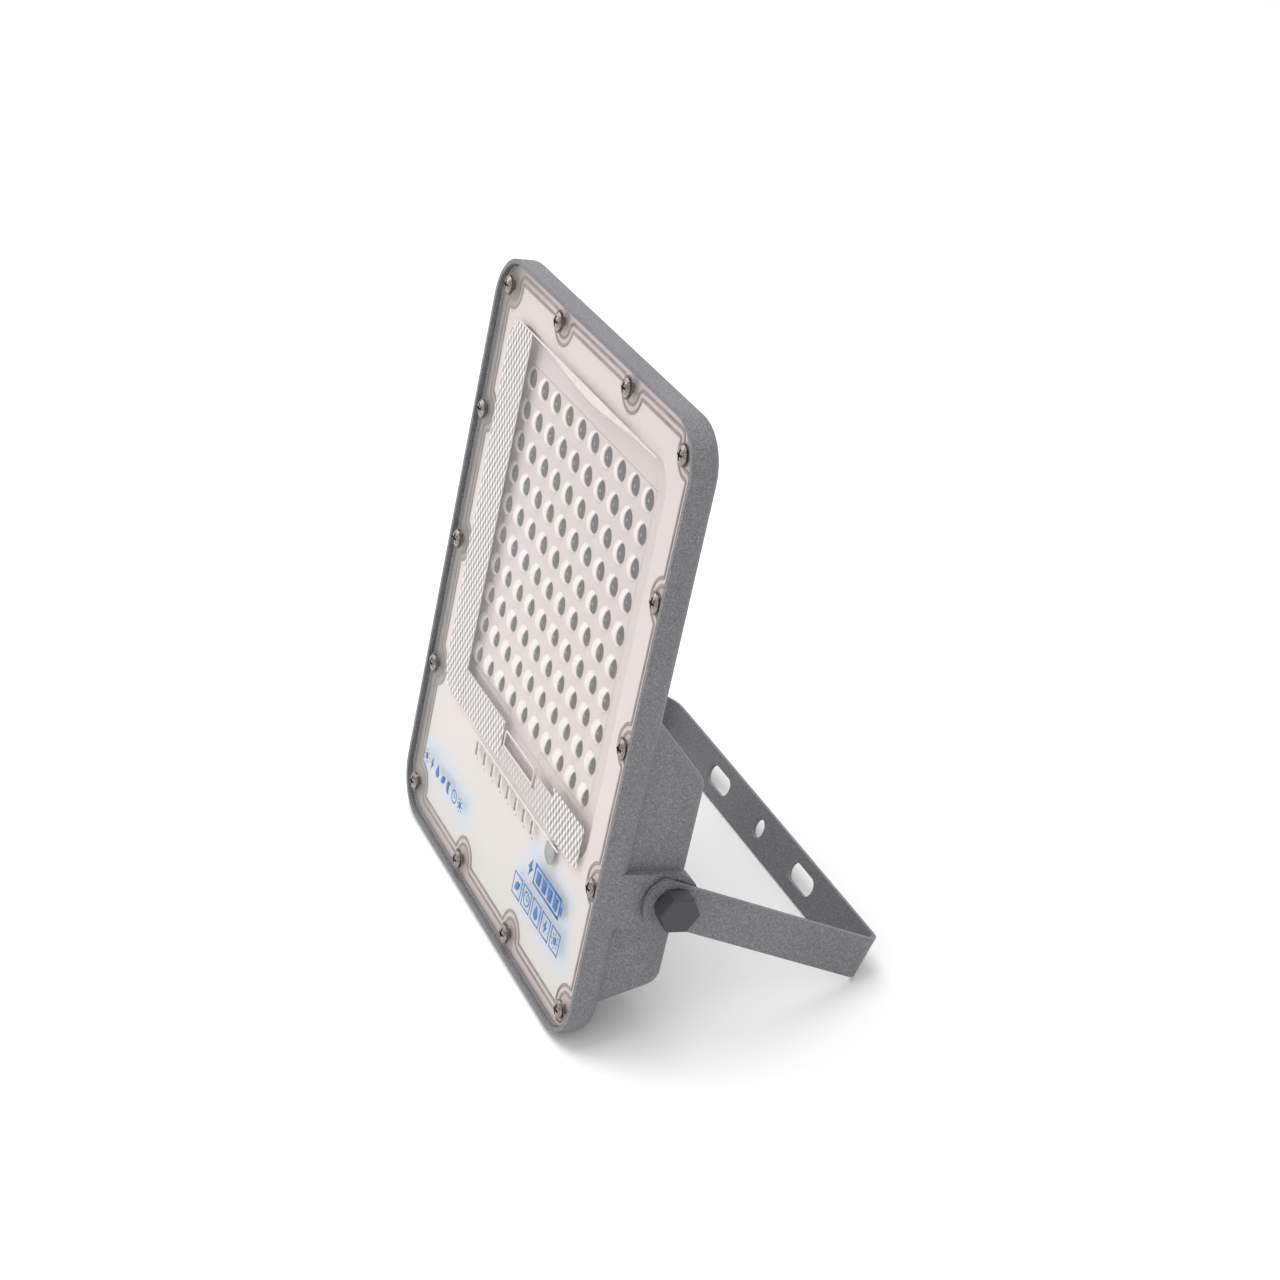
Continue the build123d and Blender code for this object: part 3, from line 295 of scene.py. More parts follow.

# %% [markdown]
# The lenses are the same clear plastic, but each is a small dome: its flank that faces the eye shows the dark
# pocket below, and the rest is a pale colour, a painted reflection of glare. A layer weight gives that split
# on every dome by its own curve, and it is sharpened with a ramp, because a real lens bends what is behind it
# out of sight within a few degrees. A painted glare value kept on the domes shifts the split, so that the
# upper left of each dome, the domes near the foot of the array and, a little, its left columns show more
# painted reflection.

# %% Lens plastic
def lens_plastic(name, glare_colour):
    """Clear dome: a layer weight plus the painted glare value kept on the dome, sharpened, goes from
    see-through to a pale painted reflection."""
    material, tree, shader, place = blank(name)
    haze = noise(tree, place, 4.0)
    glare_colours = ramp(tree, haze, [(0.3, [v * 0.96 for v in glare_colour]), (0.7, glare_colour)])
    tree.links.new(glare_colours, shader.inputs["Base Color"])
    shader.inputs["Roughness"].default_value = 0.12
    through = tree.nodes.new("ShaderNodeBsdfTransparent")
    through.inputs["Color"].default_value = (0.74, 0.73, 0.74, 1)
    weight = tree.nodes.new("ShaderNodeLayerWeight")
    weight.inputs["Blend"].default_value = 0.5
    painted_glare = tree.nodes.new("ShaderNodeAttribute")
    painted_glare.attribute_name = "painted_glare"
    both = tree.nodes.new("ShaderNodeMath")
    both.operation = "ADD"
    tree.links.new(weight.outputs["Facing"], both.inputs[0])
    tree.links.new(painted_glare.outputs["Fac"], both.inputs[1])
    share = ramp(tree, both.outputs["Value"], [(0.40, (0.015, 0.015, 0.015)), (0.455, (1, 1, 1))])
    mix = tree.nodes.new("ShaderNodeMixShader")
    tree.links.new(share, mix.inputs["Fac"])
    tree.links.new(through.outputs["BSDF"], mix.inputs[1])
    tree.links.new(shader.outputs["BSDF"], mix.inputs[2])
    tree.links.new(mix.outputs["Shader"], tree.nodes["Material Output"].inputs["Surface"])
    return material


clear_lens = lens_plastic("clear_lens", (0.96, 0.94, 0.915))
print(clear_lens.name)

# %% [markdown]
# The white frame behind the cover has a faintly pink cast that turns to a cool pale green towards its foot.
# It is one plastic part, so this is one material: a ramp up the face, and round each printed block a pale
# blue painted shadow, where light through the blue print falls on the frame.

# %% White frame finish
# Boxes of the print, round which the frame gets its painted blue shadow.
PRINT_BLOCKS = (((-65.0, -104.5), (27.0, 3.5)), ((58.5, -87.0), (19.5, 5.0)), ((56.5, -102.0), (25.5, 5.0)))


def compute(tree, operation, *values):
    """A math node of numbers and other nodes' values."""
    node = tree.nodes.new("ShaderNodeMath")
    node.operation = operation
    for socket, value in zip(node.inputs, values):
        if isinstance(value, (int, float)):
            socket.default_value = value
        else:
            tree.links.new(value, socket)
    return node.outputs["Value"]


def face_places(tree, place):
    """Millimetres across the face and up it, worked out from the frame's X, Y and Z."""
    split = tree.nodes.new("ShaderNodeSeparateXYZ")
    tree.links.new(place, split.inputs["Vector"])
    along_y = compute(tree, "MULTIPLY", split.outputs["Y"], 1000 * math.sin(LEAN))
    height = compute(tree, "MULTIPLY_ADD", split.outputs["Z"], 1000 * math.cos(LEAN), along_y)
    height = compute(tree, "SUBTRACT", height, HEAD_Y * math.sin(LEAN) + HEAD_Z * math.cos(LEAN))
    return compute(tree, "MULTIPLY", split.outputs["X"], 1000.0), height


def outside_box(tree, across, height, middle, half):
    """Distance from a box on the face, zero inside it."""
    gaps = []
    for value, centre, reach in zip((across, height), middle, half):
        gap = compute(tree, "ABSOLUTE", compute(tree, "SUBTRACT", value, centre))
        gap = compute(tree, "MAXIMUM", compute(tree, "SUBTRACT", gap, reach), 0.0)
        gaps.append(compute(tree, "MULTIPLY", gap, gap))
    return compute(tree, "SQRT", compute(tree, "ADD", *gaps))


def frame_colour(tree, across, height):
    """Pink-white up the face, cooler at its foot, with a pale blue painted shadow of the print round each
    printed block.
    """
    rise = compute(tree, "MULTIPLY_ADD", height, 1 / 272, 0.5)
    body = ramp(tree, rise, [
        (0.02, (0.66, 0.665, 0.63)), (0.22, (0.72, 0.67, 0.65)),
        (0.38, (0.73, 0.66, 0.65)), (0.98, (0.66, 0.605, 0.59))])
    # Painted shadow of the blue print on the frame: strongest at each block, fading out over 11 mm.
    print_shadow = 0.0
    for middle, half in PRINT_BLOCKS:
        far = outside_box(tree, across, height, middle, half)
        near = compute(tree, "MAXIMUM", compute(tree, "MULTIPLY_ADD", far, -1 / 11, 1.0), 0.0)
        print_shadow = compute(tree, "MAXIMUM", near, print_shadow)
    mix = tree.nodes.new("ShaderNodeMix")
    mix.data_type = "RGBA"
    tree.links.new(compute(tree, "MULTIPLY", print_shadow, 0.6), mix.inputs["Factor"])
    tree.links.new(body, mix.inputs["A"])
    mix.inputs["B"].default_value = (0.52, 0.68, 0.82, 1)
    return mix.outputs["Result"]


def white_frame(name):
    """The frame's own plastic: its colour up the face with the painted print shadow, and a faint grain."""
    material, tree, shader, place = blank(name)
    tree.links.new(frame_colour(tree, *face_places(tree, place)), shader.inputs["Base Color"])
    shader.inputs["Roughness"].default_value = 0.45
    lift(tree, noise(tree, place, 1.2), shader, 0.01)
    return material


white_plastic = white_frame("white_plastic")
print(white_plastic.name)

# %% [markdown]
# The other slots of the record are metals, rubbers and moulded plastics. Each is the grained
# finish with its own two shades, its own grain and its own gloss, held in one table, so that a
# slot can be tuned in one line. Nodes then take the finish that the record names for them.

# %% Finishes for every CAD node
FINISHES = {
    "silicone": dict(dark=(0.55, 0.52, 0.50), light=(0.66, 0.63, 0.61), grain=1.5, depth=0.02, rough=0.35),
    "nickel_steel": dict(
        dark=(0.10, 0.085, 0.075), light=(0.42, 0.385, 0.355), grain=0.7, depth=0.05, rough=0.26,
        metallic=1.0),
    "dark_steel": dict(
        dark=(0.16, 0.16, 0.17), light=(0.30, 0.30, 0.31), grain=0.6, depth=0.02, rough=0.4, metallic=1.0),
    "white_board": dict(dark=(0.70, 0.69, 0.67), light=(0.80, 0.79, 0.77), grain=3.0, depth=0.01, rough=0.3),
    "led_yellow": dict(dark=(0.80, 0.58, 0.16), light=(0.92, 0.74, 0.28), grain=0.5, depth=0.01, rough=0.4),
    "thermal_grey": dict(dark=(0.34, 0.38, 0.42), light=(0.46, 0.50, 0.54), grain=0.8, depth=0.02, rough=0.8),
    "bare_aluminium": dict(
        dark=(0.52, 0.53, 0.54), light=(0.80, 0.81, 0.82), grain=0.5, depth=0.01, rough=0.35, metallic=1.0,
        stretch=(0.04, 1, 1)),
    "black_rubber": dict(
        dark=(0.012, 0.012, 0.012), light=(0.04, 0.04, 0.04), grain=0.9, depth=0.03, rough=0.75),
    "black_plastic": dict(
        dark=(0.018, 0.018, 0.02), light=(0.045, 0.045, 0.05), grain=0.5, depth=0.03, rough=0.5),
    "grey_window": dict(dark=(0.36, 0.37, 0.35), light=(0.46, 0.47, 0.45), grain=2.0, depth=0.01, rough=0.15),
    "cell_wrap": dict(
        dark=(0.05, 0.18, 0.42), light=(0.08, 0.26, 0.55), grain=5.0, depth=0.04, rough=0.25, coat=0.3,
        stretch=(0.15, 1, 1)),
    "foam": dict(dark=(0.05, 0.05, 0.05), light=(0.16, 0.16, 0.16), grain=0.5, depth=0.2, rough=0.95),
    "green_board": dict(
        dark=(0.015, 0.13, 0.05), light=(0.04, 0.26, 0.11), grain=1.6, depth=0.03, rough=0.3, stretch=(1, 0.2,
        1)),
    "copper_choke": dict(
        dark=(0.30, 0.10, 0.03), light=(0.78, 0.36, 0.14), grain=0.9, depth=0.2, rough=0.25, coat=0.5,
        stretch=(1, 1, 0.1)),
    "red_lead": dict(dark=(0.45, 0.02, 0.015), light=(0.62, 0.04, 0.03), grain=1.5, depth=0.02, rough=0.4),
    "cap_plastic": dict(
        dark=(0.034, 0.035, 0.043), light=(0.052, 0.053, 0.064), grain=0.35, depth=0.05, rough=0.5),
}
finish = {name: grained(name, **facts) for name, facts in FINISHES.items()}
finish |= {
    "grey_powder_coat": coat_grey, "clear_cover": clear_cover,
    "clear_lens": clear_lens, "white_plastic": white_plastic}


def dress(piece, material):
    """Give a piece one material on every face."""
    piece.data.materials.clear()
    piece.data.materials.append(material)


for subpart in frame["record"]["subparts"]:
    dress(frame["nodes"][subpart["node"]], finish[subpart["material_slot"]])

# %% [markdown]
# New pieces are sheets of points worked out as whole arrays. A grid of points with its quads is
# enough for all of them, whether it is laid flat, closed round a dome or carried along a line.
# This helper joins as many grids as a piece needs into one mesh that rides on the head.

# %% Grids to meshes
def grid_faces(rows, columns, first=0, closed=False):
    """Quads of a grid of points stored row by row. A closed grid joins its last column to its first."""
    steps_across = columns if closed else columns - 1
    row, column = np.meshgrid(np.arange(rows - 1), np.arange(steps_across), indexing="ij")
    after = (column + 1) % columns
    here, above = row * columns, (row + 1) * columns
    corners = (here + column, here + after, above + after, above + column)
    return first + np.stack(corners, axis=-1).reshape(-1, 4)


def add_piece(name, points, faces, material, caps=(), smooth=True):
    """A mesh of those points, quads and caps, riding on the head in that finish."""
    mesh = bpy.data.meshes.new(name)
    mesh.from_pydata(points.reshape(-1, 3).tolist(), [], [*faces.tolist(), *map(list, caps)])
    mesh.validate()
    mesh.polygons.foreach_set("use_smooth", np.full(len(mesh.polygons), smooth))
    piece = bpy.data.objects.new(name, mesh)
    scene.collection.objects.link(piece)
    dress(piece, material)
    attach(piece, HEAD)
    print(name, len(mesh.polygons), "faces")
    return piece


def thicken(piece, thickness, offset=-1.0):
    """Give an open sheet a wall of that many millimetres."""
    wall = piece.modifiers.new("wall", "SOLIDIFY")
    wall.thickness = thickness / 1000
    wall.offset = offset
    return piece


# %% [markdown]
# A hundred lenses stand on one plate, ten by ten. A dome is a profile carried round its middle,
# in rings that get closer together towards its steep foot. The same rings are laid a hundred
# times by adding each lens's place to them, so one line of array work makes the whole set.

# %% Lens domes
LENS_COUNT, LENS_PITCH, LENS_CENTRE = 10, 14.5, 26.0
LENS_R, LENS_RISE, LENS_DEPTH = 5.3, 2.4, 5.2
PLATE_HALF = 71.25
SIDES = 24

steps = (np.arange(LENS_COUNT) - (LENS_COUNT - 1) / 2) * LENS_PITCH
lens_x, lens_h = (v.reshape(-1, 1, 1) for v in np.meshgrid(steps, steps + LENS_CENTRE))
around = np.arange(SIDES) * 2 * math.pi / SIDES


def repeated(name, radius, depth, finish_material, shift=0.0):
    """The same rings round every lens: radius and depth, one for each ring, carried round."""
    radius, depth = np.asarray(radius)[:, None], np.asarray(depth)[:, None] + 0 * around
    x, h = lens_x + shift + radius * np.cos(around), lens_h + radius * np.sin(around)
    starts = np.arange(lens_x.size) * depth.size
    faces = (starts[:, None, None] + grid_faces(len(radius), SIDES, closed=True)[:, ::-1]).reshape(-1, 4)
    caps = (starts[:, None] + np.arange(SIDES)).tolist()
    return add_piece(name, on_head(x, depth, h), faces, finish_material, caps)


share = np.array([0.03, 0.2, 0.38, 0.55, 0.7, 0.82, 0.91, 0.97, 1.0])
dome_depth = LENS_DEPTH - LENS_RISE * (1 - share**2.2) ** 0.72
domes = repeated("lens_domes", share * LENS_R, dome_depth, clear_lens)
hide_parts("lens_plate")
# Painted glare value: larger on each dome's upper left, towards the foot of the array and a little towards
# its left columns, where the domes show more pale painted reflection.
lowness = 0.5 - (lens_h - LENS_CENTRE) / (LENS_PITCH * LENS_COUNT) + 0 * lens_x
leftness = 0.5 - lens_x / (LENS_PITCH * LENS_COUNT)
toward = share[:, None] * (np.sin(around) - np.cos(around))
painted_glare = 0.27 * lowness**1.2 + 0.05 * leftness + (0.03 + 0.30 * lowness) * toward
painted_glare_kept = domes.data.attributes.new("painted_glare", "FLOAT", "POINT")
painted_glare_kept.data.foreach_set("value", painted_glare.ravel().astype(np.float32))
thicken(domes, 0.5)

# %% [markdown]
# Under each dome the plate has a pocket over its chip. Its floor is painted near black, painted shade that
# looks dark through the clear flank, and a near-white dot in the middle of it is a painted highlight on the
# chip's tiny lens.

# %% Pocket shade and highlight dots
# Near black painted shade for the pockets, near white painted highlight for the dots.
pocket_shade_finish = grained(
    "pocket_painted_shade", dark=(0.012, 0.011, 0.013), light=(0.10, 0.085, 0.088), grain=1.4, depth=0.05, rough=0.3)
highlight_dot_finish = grained(
    "painted_highlight_dot", dark=(0.9, 0.88, 0.84), light=(0.98, 0.97, 0.95), grain=1.0, depth=0.01, rough=0.2)
POCKET_R, POCKET_DEPTH, POCKET_RISE = 5.0, 5.95, 0.25
DOT_R, DOT_DEPTH, DOT_RISE, DOT_SHIFT = 0.8, 4.3, 0.5, 1.3
pocket_radius = np.array([0.3, 1.6, 3.0, 4.3, POCKET_R])
pocket_depth = POCKET_DEPTH - POCKET_RISE * (pocket_radius / POCKET_R) ** 2
thicken(repeated("lens_pockets", pocket_radius, pocket_depth, pocket_shade_finish), 0.08)
dot_radius = np.array([0.1, 0.45, 0.7, DOT_R])
dot_depth = DOT_DEPTH + DOT_RISE * (dot_radius / DOT_R) ** 2
thicken(repeated("highlight_dots", dot_radius, dot_depth, highlight_dot_finish, shift=DOT_SHIFT), 0.05)

# %% [markdown]
# The plate itself is flat, with a round opening for every dome. Each opening's square cell is a
# ring of quads from the circle out to the square. Cells at the border are clipped to the plate's
# own edge, and a small tab carries the plate down over the board's plug.

# %% Lens plate
TAB_HALF, TAB_FOOT = 18.0, -57.5
square = LENS_PITCH / 2 / np.maximum(abs(np.cos(around)), abs(np.sin(around)))
cell_radius = np.stack([LENS_R + 0 * around, square])
flat_x = np.clip(lens_x + cell_radius * np.cos(around), -PLATE_HALF, PLATE_HALF)
flat_h = np.clip(lens_h + cell_radius * np.sin(around), LENS_CENTRE - PLATE_HALF, LENS_CENTRE + PLATE_HALF)
flat_starts = np.arange(lens_x.size)[:, None, None] * cell_radius.size
flat_faces = (flat_starts + grid_faces(2, SIDES, closed=True)[:, ::-1]).reshape(-1, 4)
tab_x, tab_h = np.meshgrid([-TAB_HALF, TAB_HALF], [TAB_FOOT, LENS_CENTRE - PLATE_HALF])
flat_points = np.concatenate([
    on_head(flat_x, LENS_DEPTH, flat_h).reshape(-1, 3), on_head(tab_x, LENS_DEPTH, tab_h).reshape(-1, 3)])
flat_faces = np.concatenate([flat_faces, grid_faces(2, 2, first=flat_x.size)])
thicken(add_piece("lens_flat", flat_points, flat_faces, white_plastic, smooth=False), 0.6)

# %% [markdown]
# The silicone seal runs in a groove round the whole cover and bows inwards at every screw. Its two edges show
# through the clear cover as brownish lines, which are drawn as painted shade of the groove. The seal itself
# is a CAD node, so its outlines are read from that node: the edges that only one front triangle uses, put in
# order.

# %% Seal outlines
def outlines(node):
    """Closed outlines of a node's front: corners that share a place are made one, the edges used
    by a single front-facing triangle are kept, and each is followed to the next."""
    mesh = node.data
    points = np.empty(len(mesh.vertices) * 3)
    mesh.vertices.foreach_get("co", points)
    points = points.reshape(-1, 3)
    unique, place = np.unique(np.round(points, 6), axis=0, return_inverse=True)
    mesh.calc_loop_triangles()
    corners = np.empty(len(mesh.loop_triangles) * 3, int)
    mesh.loop_triangles.foreach_get("vertices", corners)
    triangles = place.ravel()[corners.reshape(-1, 3)]
    a, b, c = (unique[triangles[:, i]] for i in range(3))
    normal = np.cross(b - a, c - a)
    normal /= np.linalg.norm(normal, axis=1)[:, None] + 1e-12
    front = triangles[normal @ np.array([0, -math.cos(LEAN), math.sin(LEAN)]) > 0.99]
    edges = np.concatenate([front[:, [0, 1]], front[:, [1, 2]], front[:, [2, 0]]])
    known = {tuple(edge) for edge in edges.tolist()}
    follow = dict(edge for edge in known if edge[::-1] not in known)
    loops = []
    while follow:
        start, here = follow.popitem()
        loop = [start]
        while here != start:
            loop.append(here)
            here = follow.pop(here)
        loops.append(unique[loop])
    return sorted(loops, key=len)


seal_loops = [off_head(loop) for loop in outlines(frame["nodes"]["cover_gasket"])]
print("outlines of", [len(loop[0]) for loop in seal_loops], "points")

# %% [markdown]
# A line of the seal is painted shade of its groove: a low half-round bead in a dark brown, carried along its
# outline. At each point of the outline the bead's profile stands square to the path, so the sheet is the
# path's points plus the profile's width along the sideways direction.

# %% Seal lines of painted shade
def even(x, h, step):
    """Points of a closed outline moved to an even spacing along it."""
    x, h = np.append(x, x[0]), np.append(h, h[0])
    length = np.concatenate([[0], np.cumsum(np.hypot(np.diff(x), np.diff(h)))])
    places = np.linspace(0, length[-1], int(length[-1] / step), endpoint=False)
    return np.interp(places, length, x), np.interp(places, length, h)


def bead(x, h, width, depth, height):
    """Half-round bead along a closed path: a row for each step of the profile's half circle."""
    ahead_x, ahead_h = np.roll(x, -1) - np.roll(x, 1), np.roll(h, -1) - np.roll(h, 1)
    size = np.hypot(ahead_x, ahead_h)
    side_x, side_h = -ahead_h / size, ahead_x / size
    angle = np.linspace(0, math.pi, 7)[:, None]
    across = width / 2 * np.cos(angle)
    points = on_head(x + side_x * across, depth + height * np.sin(angle), h + side_h * across)
    return points, grid_faces(7, len(x), closed=True)


groove_shade_finish = grained(
    "seal_groove_shade", dark=(0.15, 0.12, 0.105), light=(0.30, 0.255, 0.23), grain=9.0, depth=0.01, rough=0.3)


def shrunk(x, h, inward):
    """A closed path moved inwards: its points step along the normal, on the side that makes the
    enclosed area smaller."""
    ahead_x, ahead_h = np.roll(x, -1) - np.roll(x, 1), np.roll(h, -1) - np.roll(h, 1)
    size = np.hypot(ahead_x, ahead_h)
    turn_sign = np.sign(np.sum(x * ahead_h - h * ahead_x))
    return x - turn_sign * inward * ahead_h / size, h + turn_sign * inward * ahead_x / size


LINE_INWARD, LINE_WIDTH, LINE_DEPTH, LINE_RISE = 1.5, 1.4, 2.32, -0.2
# Painted shade: dark brown beads just inside the seal's two edges.
for name, (x, _, h) in zip(("seal_groove_shade_inner", "seal_groove_shade_outer"), seal_loops):
    points, faces = bead(*shrunk(*even(x, h, 0.8), LINE_INWARD), LINE_WIDTH, LINE_DEPTH, LINE_RISE)
    thicken(add_piece(name, points, faces, groove_shade_finish), 0.05)

# %% [markdown]
# The back of the cover carries a white mask from its edge to the window over the lenses. Inside the seal it
# has the frame's pink-white. Outside the seal it thins out to a grey with painted shade: it darkens towards
# the rim, most of all on the left, where the wall of the housing shades it, and is lighter to the right. The
# sheet is drawn between two rounded rectangles, and its border colour is kept at its points.

# %% Rounded outlines
WINDOW = dict(half_x=84.0, middle_h=24.0, half_h=88.0, corner=12.8)
COVER = dict(half_x=105.5, middle_h=0.0, half_h=133.5, corner=19.5)


def rounded(half_x, middle_h, half_h, corner, count):
    """Even points round a rectangle with round corners: four quarter circles joined by their ends."""
    turns = (np.arange(4)[:, None] * math.pi / 2 + np.linspace(0, math.pi / 2, 24)).ravel()
    sign_x = np.repeat([1, -1, -1, 1], 24)
    sign_h = np.repeat([1, 1, -1, -1], 24)
    x = sign_x * (half_x - corner) + corner * np.cos(turns)
    h = middle_h + sign_h * (half_h - corner) + corner * np.sin(turns)
    return even(x, h, sum(np.hypot(np.diff(x, append=x[0]), np.diff(h, append=h[0]))) / (count + 0.5))


def inside(x, h, path_x, path_h):
    """True for points inside a closed path: a ray to the right crosses it an odd number of times."""
    next_x, next_h = np.roll(path_x, -1), np.roll(path_h, -1)
    crosses = (path_h > h[:, None]) != (next_h > h[:, None])
    climb = np.where(next_h == path_h, 1, next_h - path_h)
    at_x = path_x + (h[:, None] - path_h) * (next_x - path_x) / climb
    return (crosses & (x[:, None] < at_x)).sum(axis=1) % 2 == 1


print("window", WINDOW)

# %% [markdown]
# The mask has two colours: the frame's own inside the seal, and a border colour with painted shade outside
# it. Each point of the sheet keeps the border's colour, and a one or a nought for which of the two it shows.

# %% Mask finish
def mask_print(name):
    """White print: the frame's colour inside the seal, the border's colour with its painted shade outside it.
    """
    material, tree, shader, place = blank(name)
    across, height = face_places(tree, place)
    border_and_shade = tree.nodes.new("ShaderNodeAttribute")
    border_and_shade.attribute_name = "border_and_shade"
    mix = tree.nodes.new("ShaderNodeMix")
    mix.data_type = "RGBA"
    tree.links.new(border_and_shade.outputs["Alpha"], mix.inputs["Factor"])
    tree.links.new(frame_colour(tree, across, height), mix.inputs["A"])
    tree.links.new(border_and_shade.outputs["Color"], mix.inputs["B"])
    tree.links.new(mix.outputs["Result"], shader.inputs["Base Color"])
    shader.inputs["Roughness"].default_value = 0.4
    return material


mask_finish = mask_print("mask_print")
print(mask_finish.name)

# %% [markdown]
# The sheet is rows of points from the cover's outline in to the window's. The rows lie closer together near
# the rim, where the border's painted shade darkens it within a few millimetres.

# %% Cover mask
MASK_COLUMNS, MASK_ROWS, MASK_DEPTH = 600, 40, 2.42
outer_x, outer_h = rounded(**COVER, count=MASK_COLUMNS)
inner_x, inner_h = rounded(**WINDOW, count=MASK_COLUMNS)
MASK_CROWDING = 1.4
FACE_HALF_X, FACE_HALF_H, RIM_EDGE, RIM_FADE, RIM_SHADE = 108, 136, 2.2, 1.1, 0.75
LEFT_START, LEFT_SPAN = 112, 60
BORDER_SHADED_LEFT, BORDER_LIT_RIGHT = np.array([0.26, 0.26, 0.24]), np.array([0.62, 0.53, 0.505])
across_mask = np.linspace(0, 1, MASK_ROWS)[:, None] ** MASK_CROWDING
mask_x = outer_x + (inner_x - outer_x) * across_mask
mask_h = outer_h + (inner_h - outer_h) * across_mask
mask = add_piece(
    "cover_mask", on_head(mask_x, MASK_DEPTH, mask_h), grid_faces(MASK_ROWS, len(outer_x), closed=True),
    mask_finish, smooth=False)
seal_x, _, seal_h = seal_loops[1]
seal_x, seal_h = shrunk(*even(seal_x, seal_h, 1.5), LINE_INWARD)
flat_mask_x, flat_mask_h = mask_x.ravel(), mask_h.ravel()
outside = ~inside(flat_mask_x, flat_mask_h, seal_x, seal_h)
from_rim = np.minimum(FACE_HALF_X - abs(flat_mask_x), FACE_HALF_H - abs(flat_mask_h))
# Painted shade: the border is dark on the left and lighter to the right, and darker still within a few
# millimetres of the rim.
side_light = np.clip((flat_mask_x + LEFT_START) / LEFT_SPAN, 0, 1)[:, None]
border_and_shade = BORDER_SHADED_LEFT * (1 - side_light) + BORDER_LIT_RIGHT * side_light
border_and_shade = border_and_shade * (1 - RIM_SHADE * np.exp(-np.maximum(from_rim - RIM_EDGE, 0) / RIM_FADE))[:, None]
border_shade_colour = np.concatenate([border_and_shade, outside[:, None]], axis=1).astype(np.float32)
border_shade_kept = mask.data.attributes.new("border_and_shade", "FLOAT_COLOR", "POINT")
border_shade_kept.data.foreach_set("color", border_shade_colour.ravel())
thicken(mask, 0.05)

# %% [markdown]
# Low ridges at the cover's front, or just inside it, catch the light, and their pale colour is a painted
# highlight. One is a closed half-round bead round the plug under the lenses, and one is a straight line under
# the prisms. Along the window's top edge a soft bevel is drawn as a pale streak of painted highlight: its
# half width is a bell curve along X.

# %% Ridges and top bevel
ridge_highlight_finish = grained(
    "clear_ridge_highlight", dark=(0.66, 0.61, 0.59), light=(0.78, 0.73, 0.71), grain=5.0, depth=0.01, rough=0.2)
PLUG = dict(half_x=17.6, middle_h=-53.2, half_h=3.6, corner=0.8)
PLUG_X = 8.2
FOOT_LEFT, FOOT_RIGHT, FOOT_H, FOOT_HALF = -45, 64, -67.6, 0.5
STREAK_LEFT, STREAK_RIGHT, STREAK_TOP = -83, 75, 112.4
STREAK_THIN, STREAK_SWELL, STREAK_MIDDLE, STREAK_SPREAD = 0.3, 2.1, 5, 38


def shifted(step, x, h):
    """An outline moved across the face."""
    return x + step, h


points, faces = bead(*shifted(PLUG_X, *rounded(**PLUG, count=160)), 1.0, 0.6, -0.4)
thicken(add_piece("plug_ridge", points, faces, ridge_highlight_finish), 0.05)
low_x = np.linspace(FOOT_LEFT, FOOT_RIGHT, 80)
low_row = np.linspace(-1, 1, 5)[:, None]
thicken(add_piece(
    "foot_ridge", on_head(low_x, 0.3 - 0.35 * np.cos(low_row * math.pi / 2), FOOT_H + FOOT_HALF * low_row),
    grid_faces(5, 80)[:, ::-1], ridge_highlight_finish), 0.05)
streak_x = np.linspace(STREAK_LEFT, STREAK_RIGHT, 60)
streak_half = STREAK_THIN + STREAK_SWELL * np.exp(-(((streak_x - STREAK_MIDDLE) / STREAK_SPREAD) ** 2))
streak_row = np.linspace(-1, 1, 7)[:, None]
streak_h = STREAK_TOP - streak_half * (1 - streak_row)
streak_depth = 0.3 - 0.2 * np.cos(streak_row * math.pi / 2)
thicken(add_piece(
    "window_bevel_highlight", on_head(streak_x, streak_depth, streak_h), grid_faces(7, 60)[:, ::-1],
    ridge_highlight_finish), 0.05)

# %% [markdown]
# Each cover screw sits in a shallow moulded seat; a dark ring round the head is painted shadow of its wall.

# %% Screw seat shadows
SCREW_REACH, SAME_SCREW = 12, 4


def screw_middles():
    """Middles of the cover screws. The CAD node's points are gathered on a coarse grid, the box
    of the points near each crossing gives a middle, and a middle found twice is kept once."""
    mesh = frame["nodes"]["cover_screws"].data
    points = np.empty(len(mesh.vertices) * 3)
    mesh.vertices.foreach_get("co", points)
    x, _, h = off_head(points.reshape(-1, 3))
    tags = np.unique(np.round(np.stack([x, h], -1) / SCREW_REACH), axis=0) * SCREW_REACH
    middles = []
    for tag in tags:
        near = np.hypot(x - tag[0], h - tag[1]) < SCREW_REACH
        spot = (np.array([x[near].min() + x[near].max(), h[near].min() + h[near].max()]) / 2).round(1)
        if not any(np.hypot(*(spot - known)) < SAME_SCREW for known in middles):
            middles.append(spot)
    return np.array(middles)


screws = screw_middles()
print(len(screws), "screws at", screws.tolist())
seat_shadow_finish = grained(
    "seat_shadow", dark=(0.075, 0.062, 0.056), light=(0.16, 0.135, 0.12), grain=1.5, depth=0.03, rough=0.4)
seat_radius = np.array([3.7, 4.5, 5.0])[:, None]
seat_x = screws[:, 0].reshape(-1, 1, 1) + seat_radius * np.cos(around)
seat_h = screws[:, 1].reshape(-1, 1, 1) + seat_radius * np.sin(around)
seat_depth = np.array([-0.05, -0.12, -0.03])[:, None] + 0 * seat_x
seat_starts = np.arange(len(screws))[:, None, None] * 3 * SIDES
seat_faces = (seat_starts + grid_faces(3, SIDES, closed=True)[:, ::-1]).reshape(-1, 4)
thicken(add_piece(
    "screw_seat_shadows", on_head(seat_x, seat_depth, seat_h), seat_faces, seat_shadow_finish), 0.05)

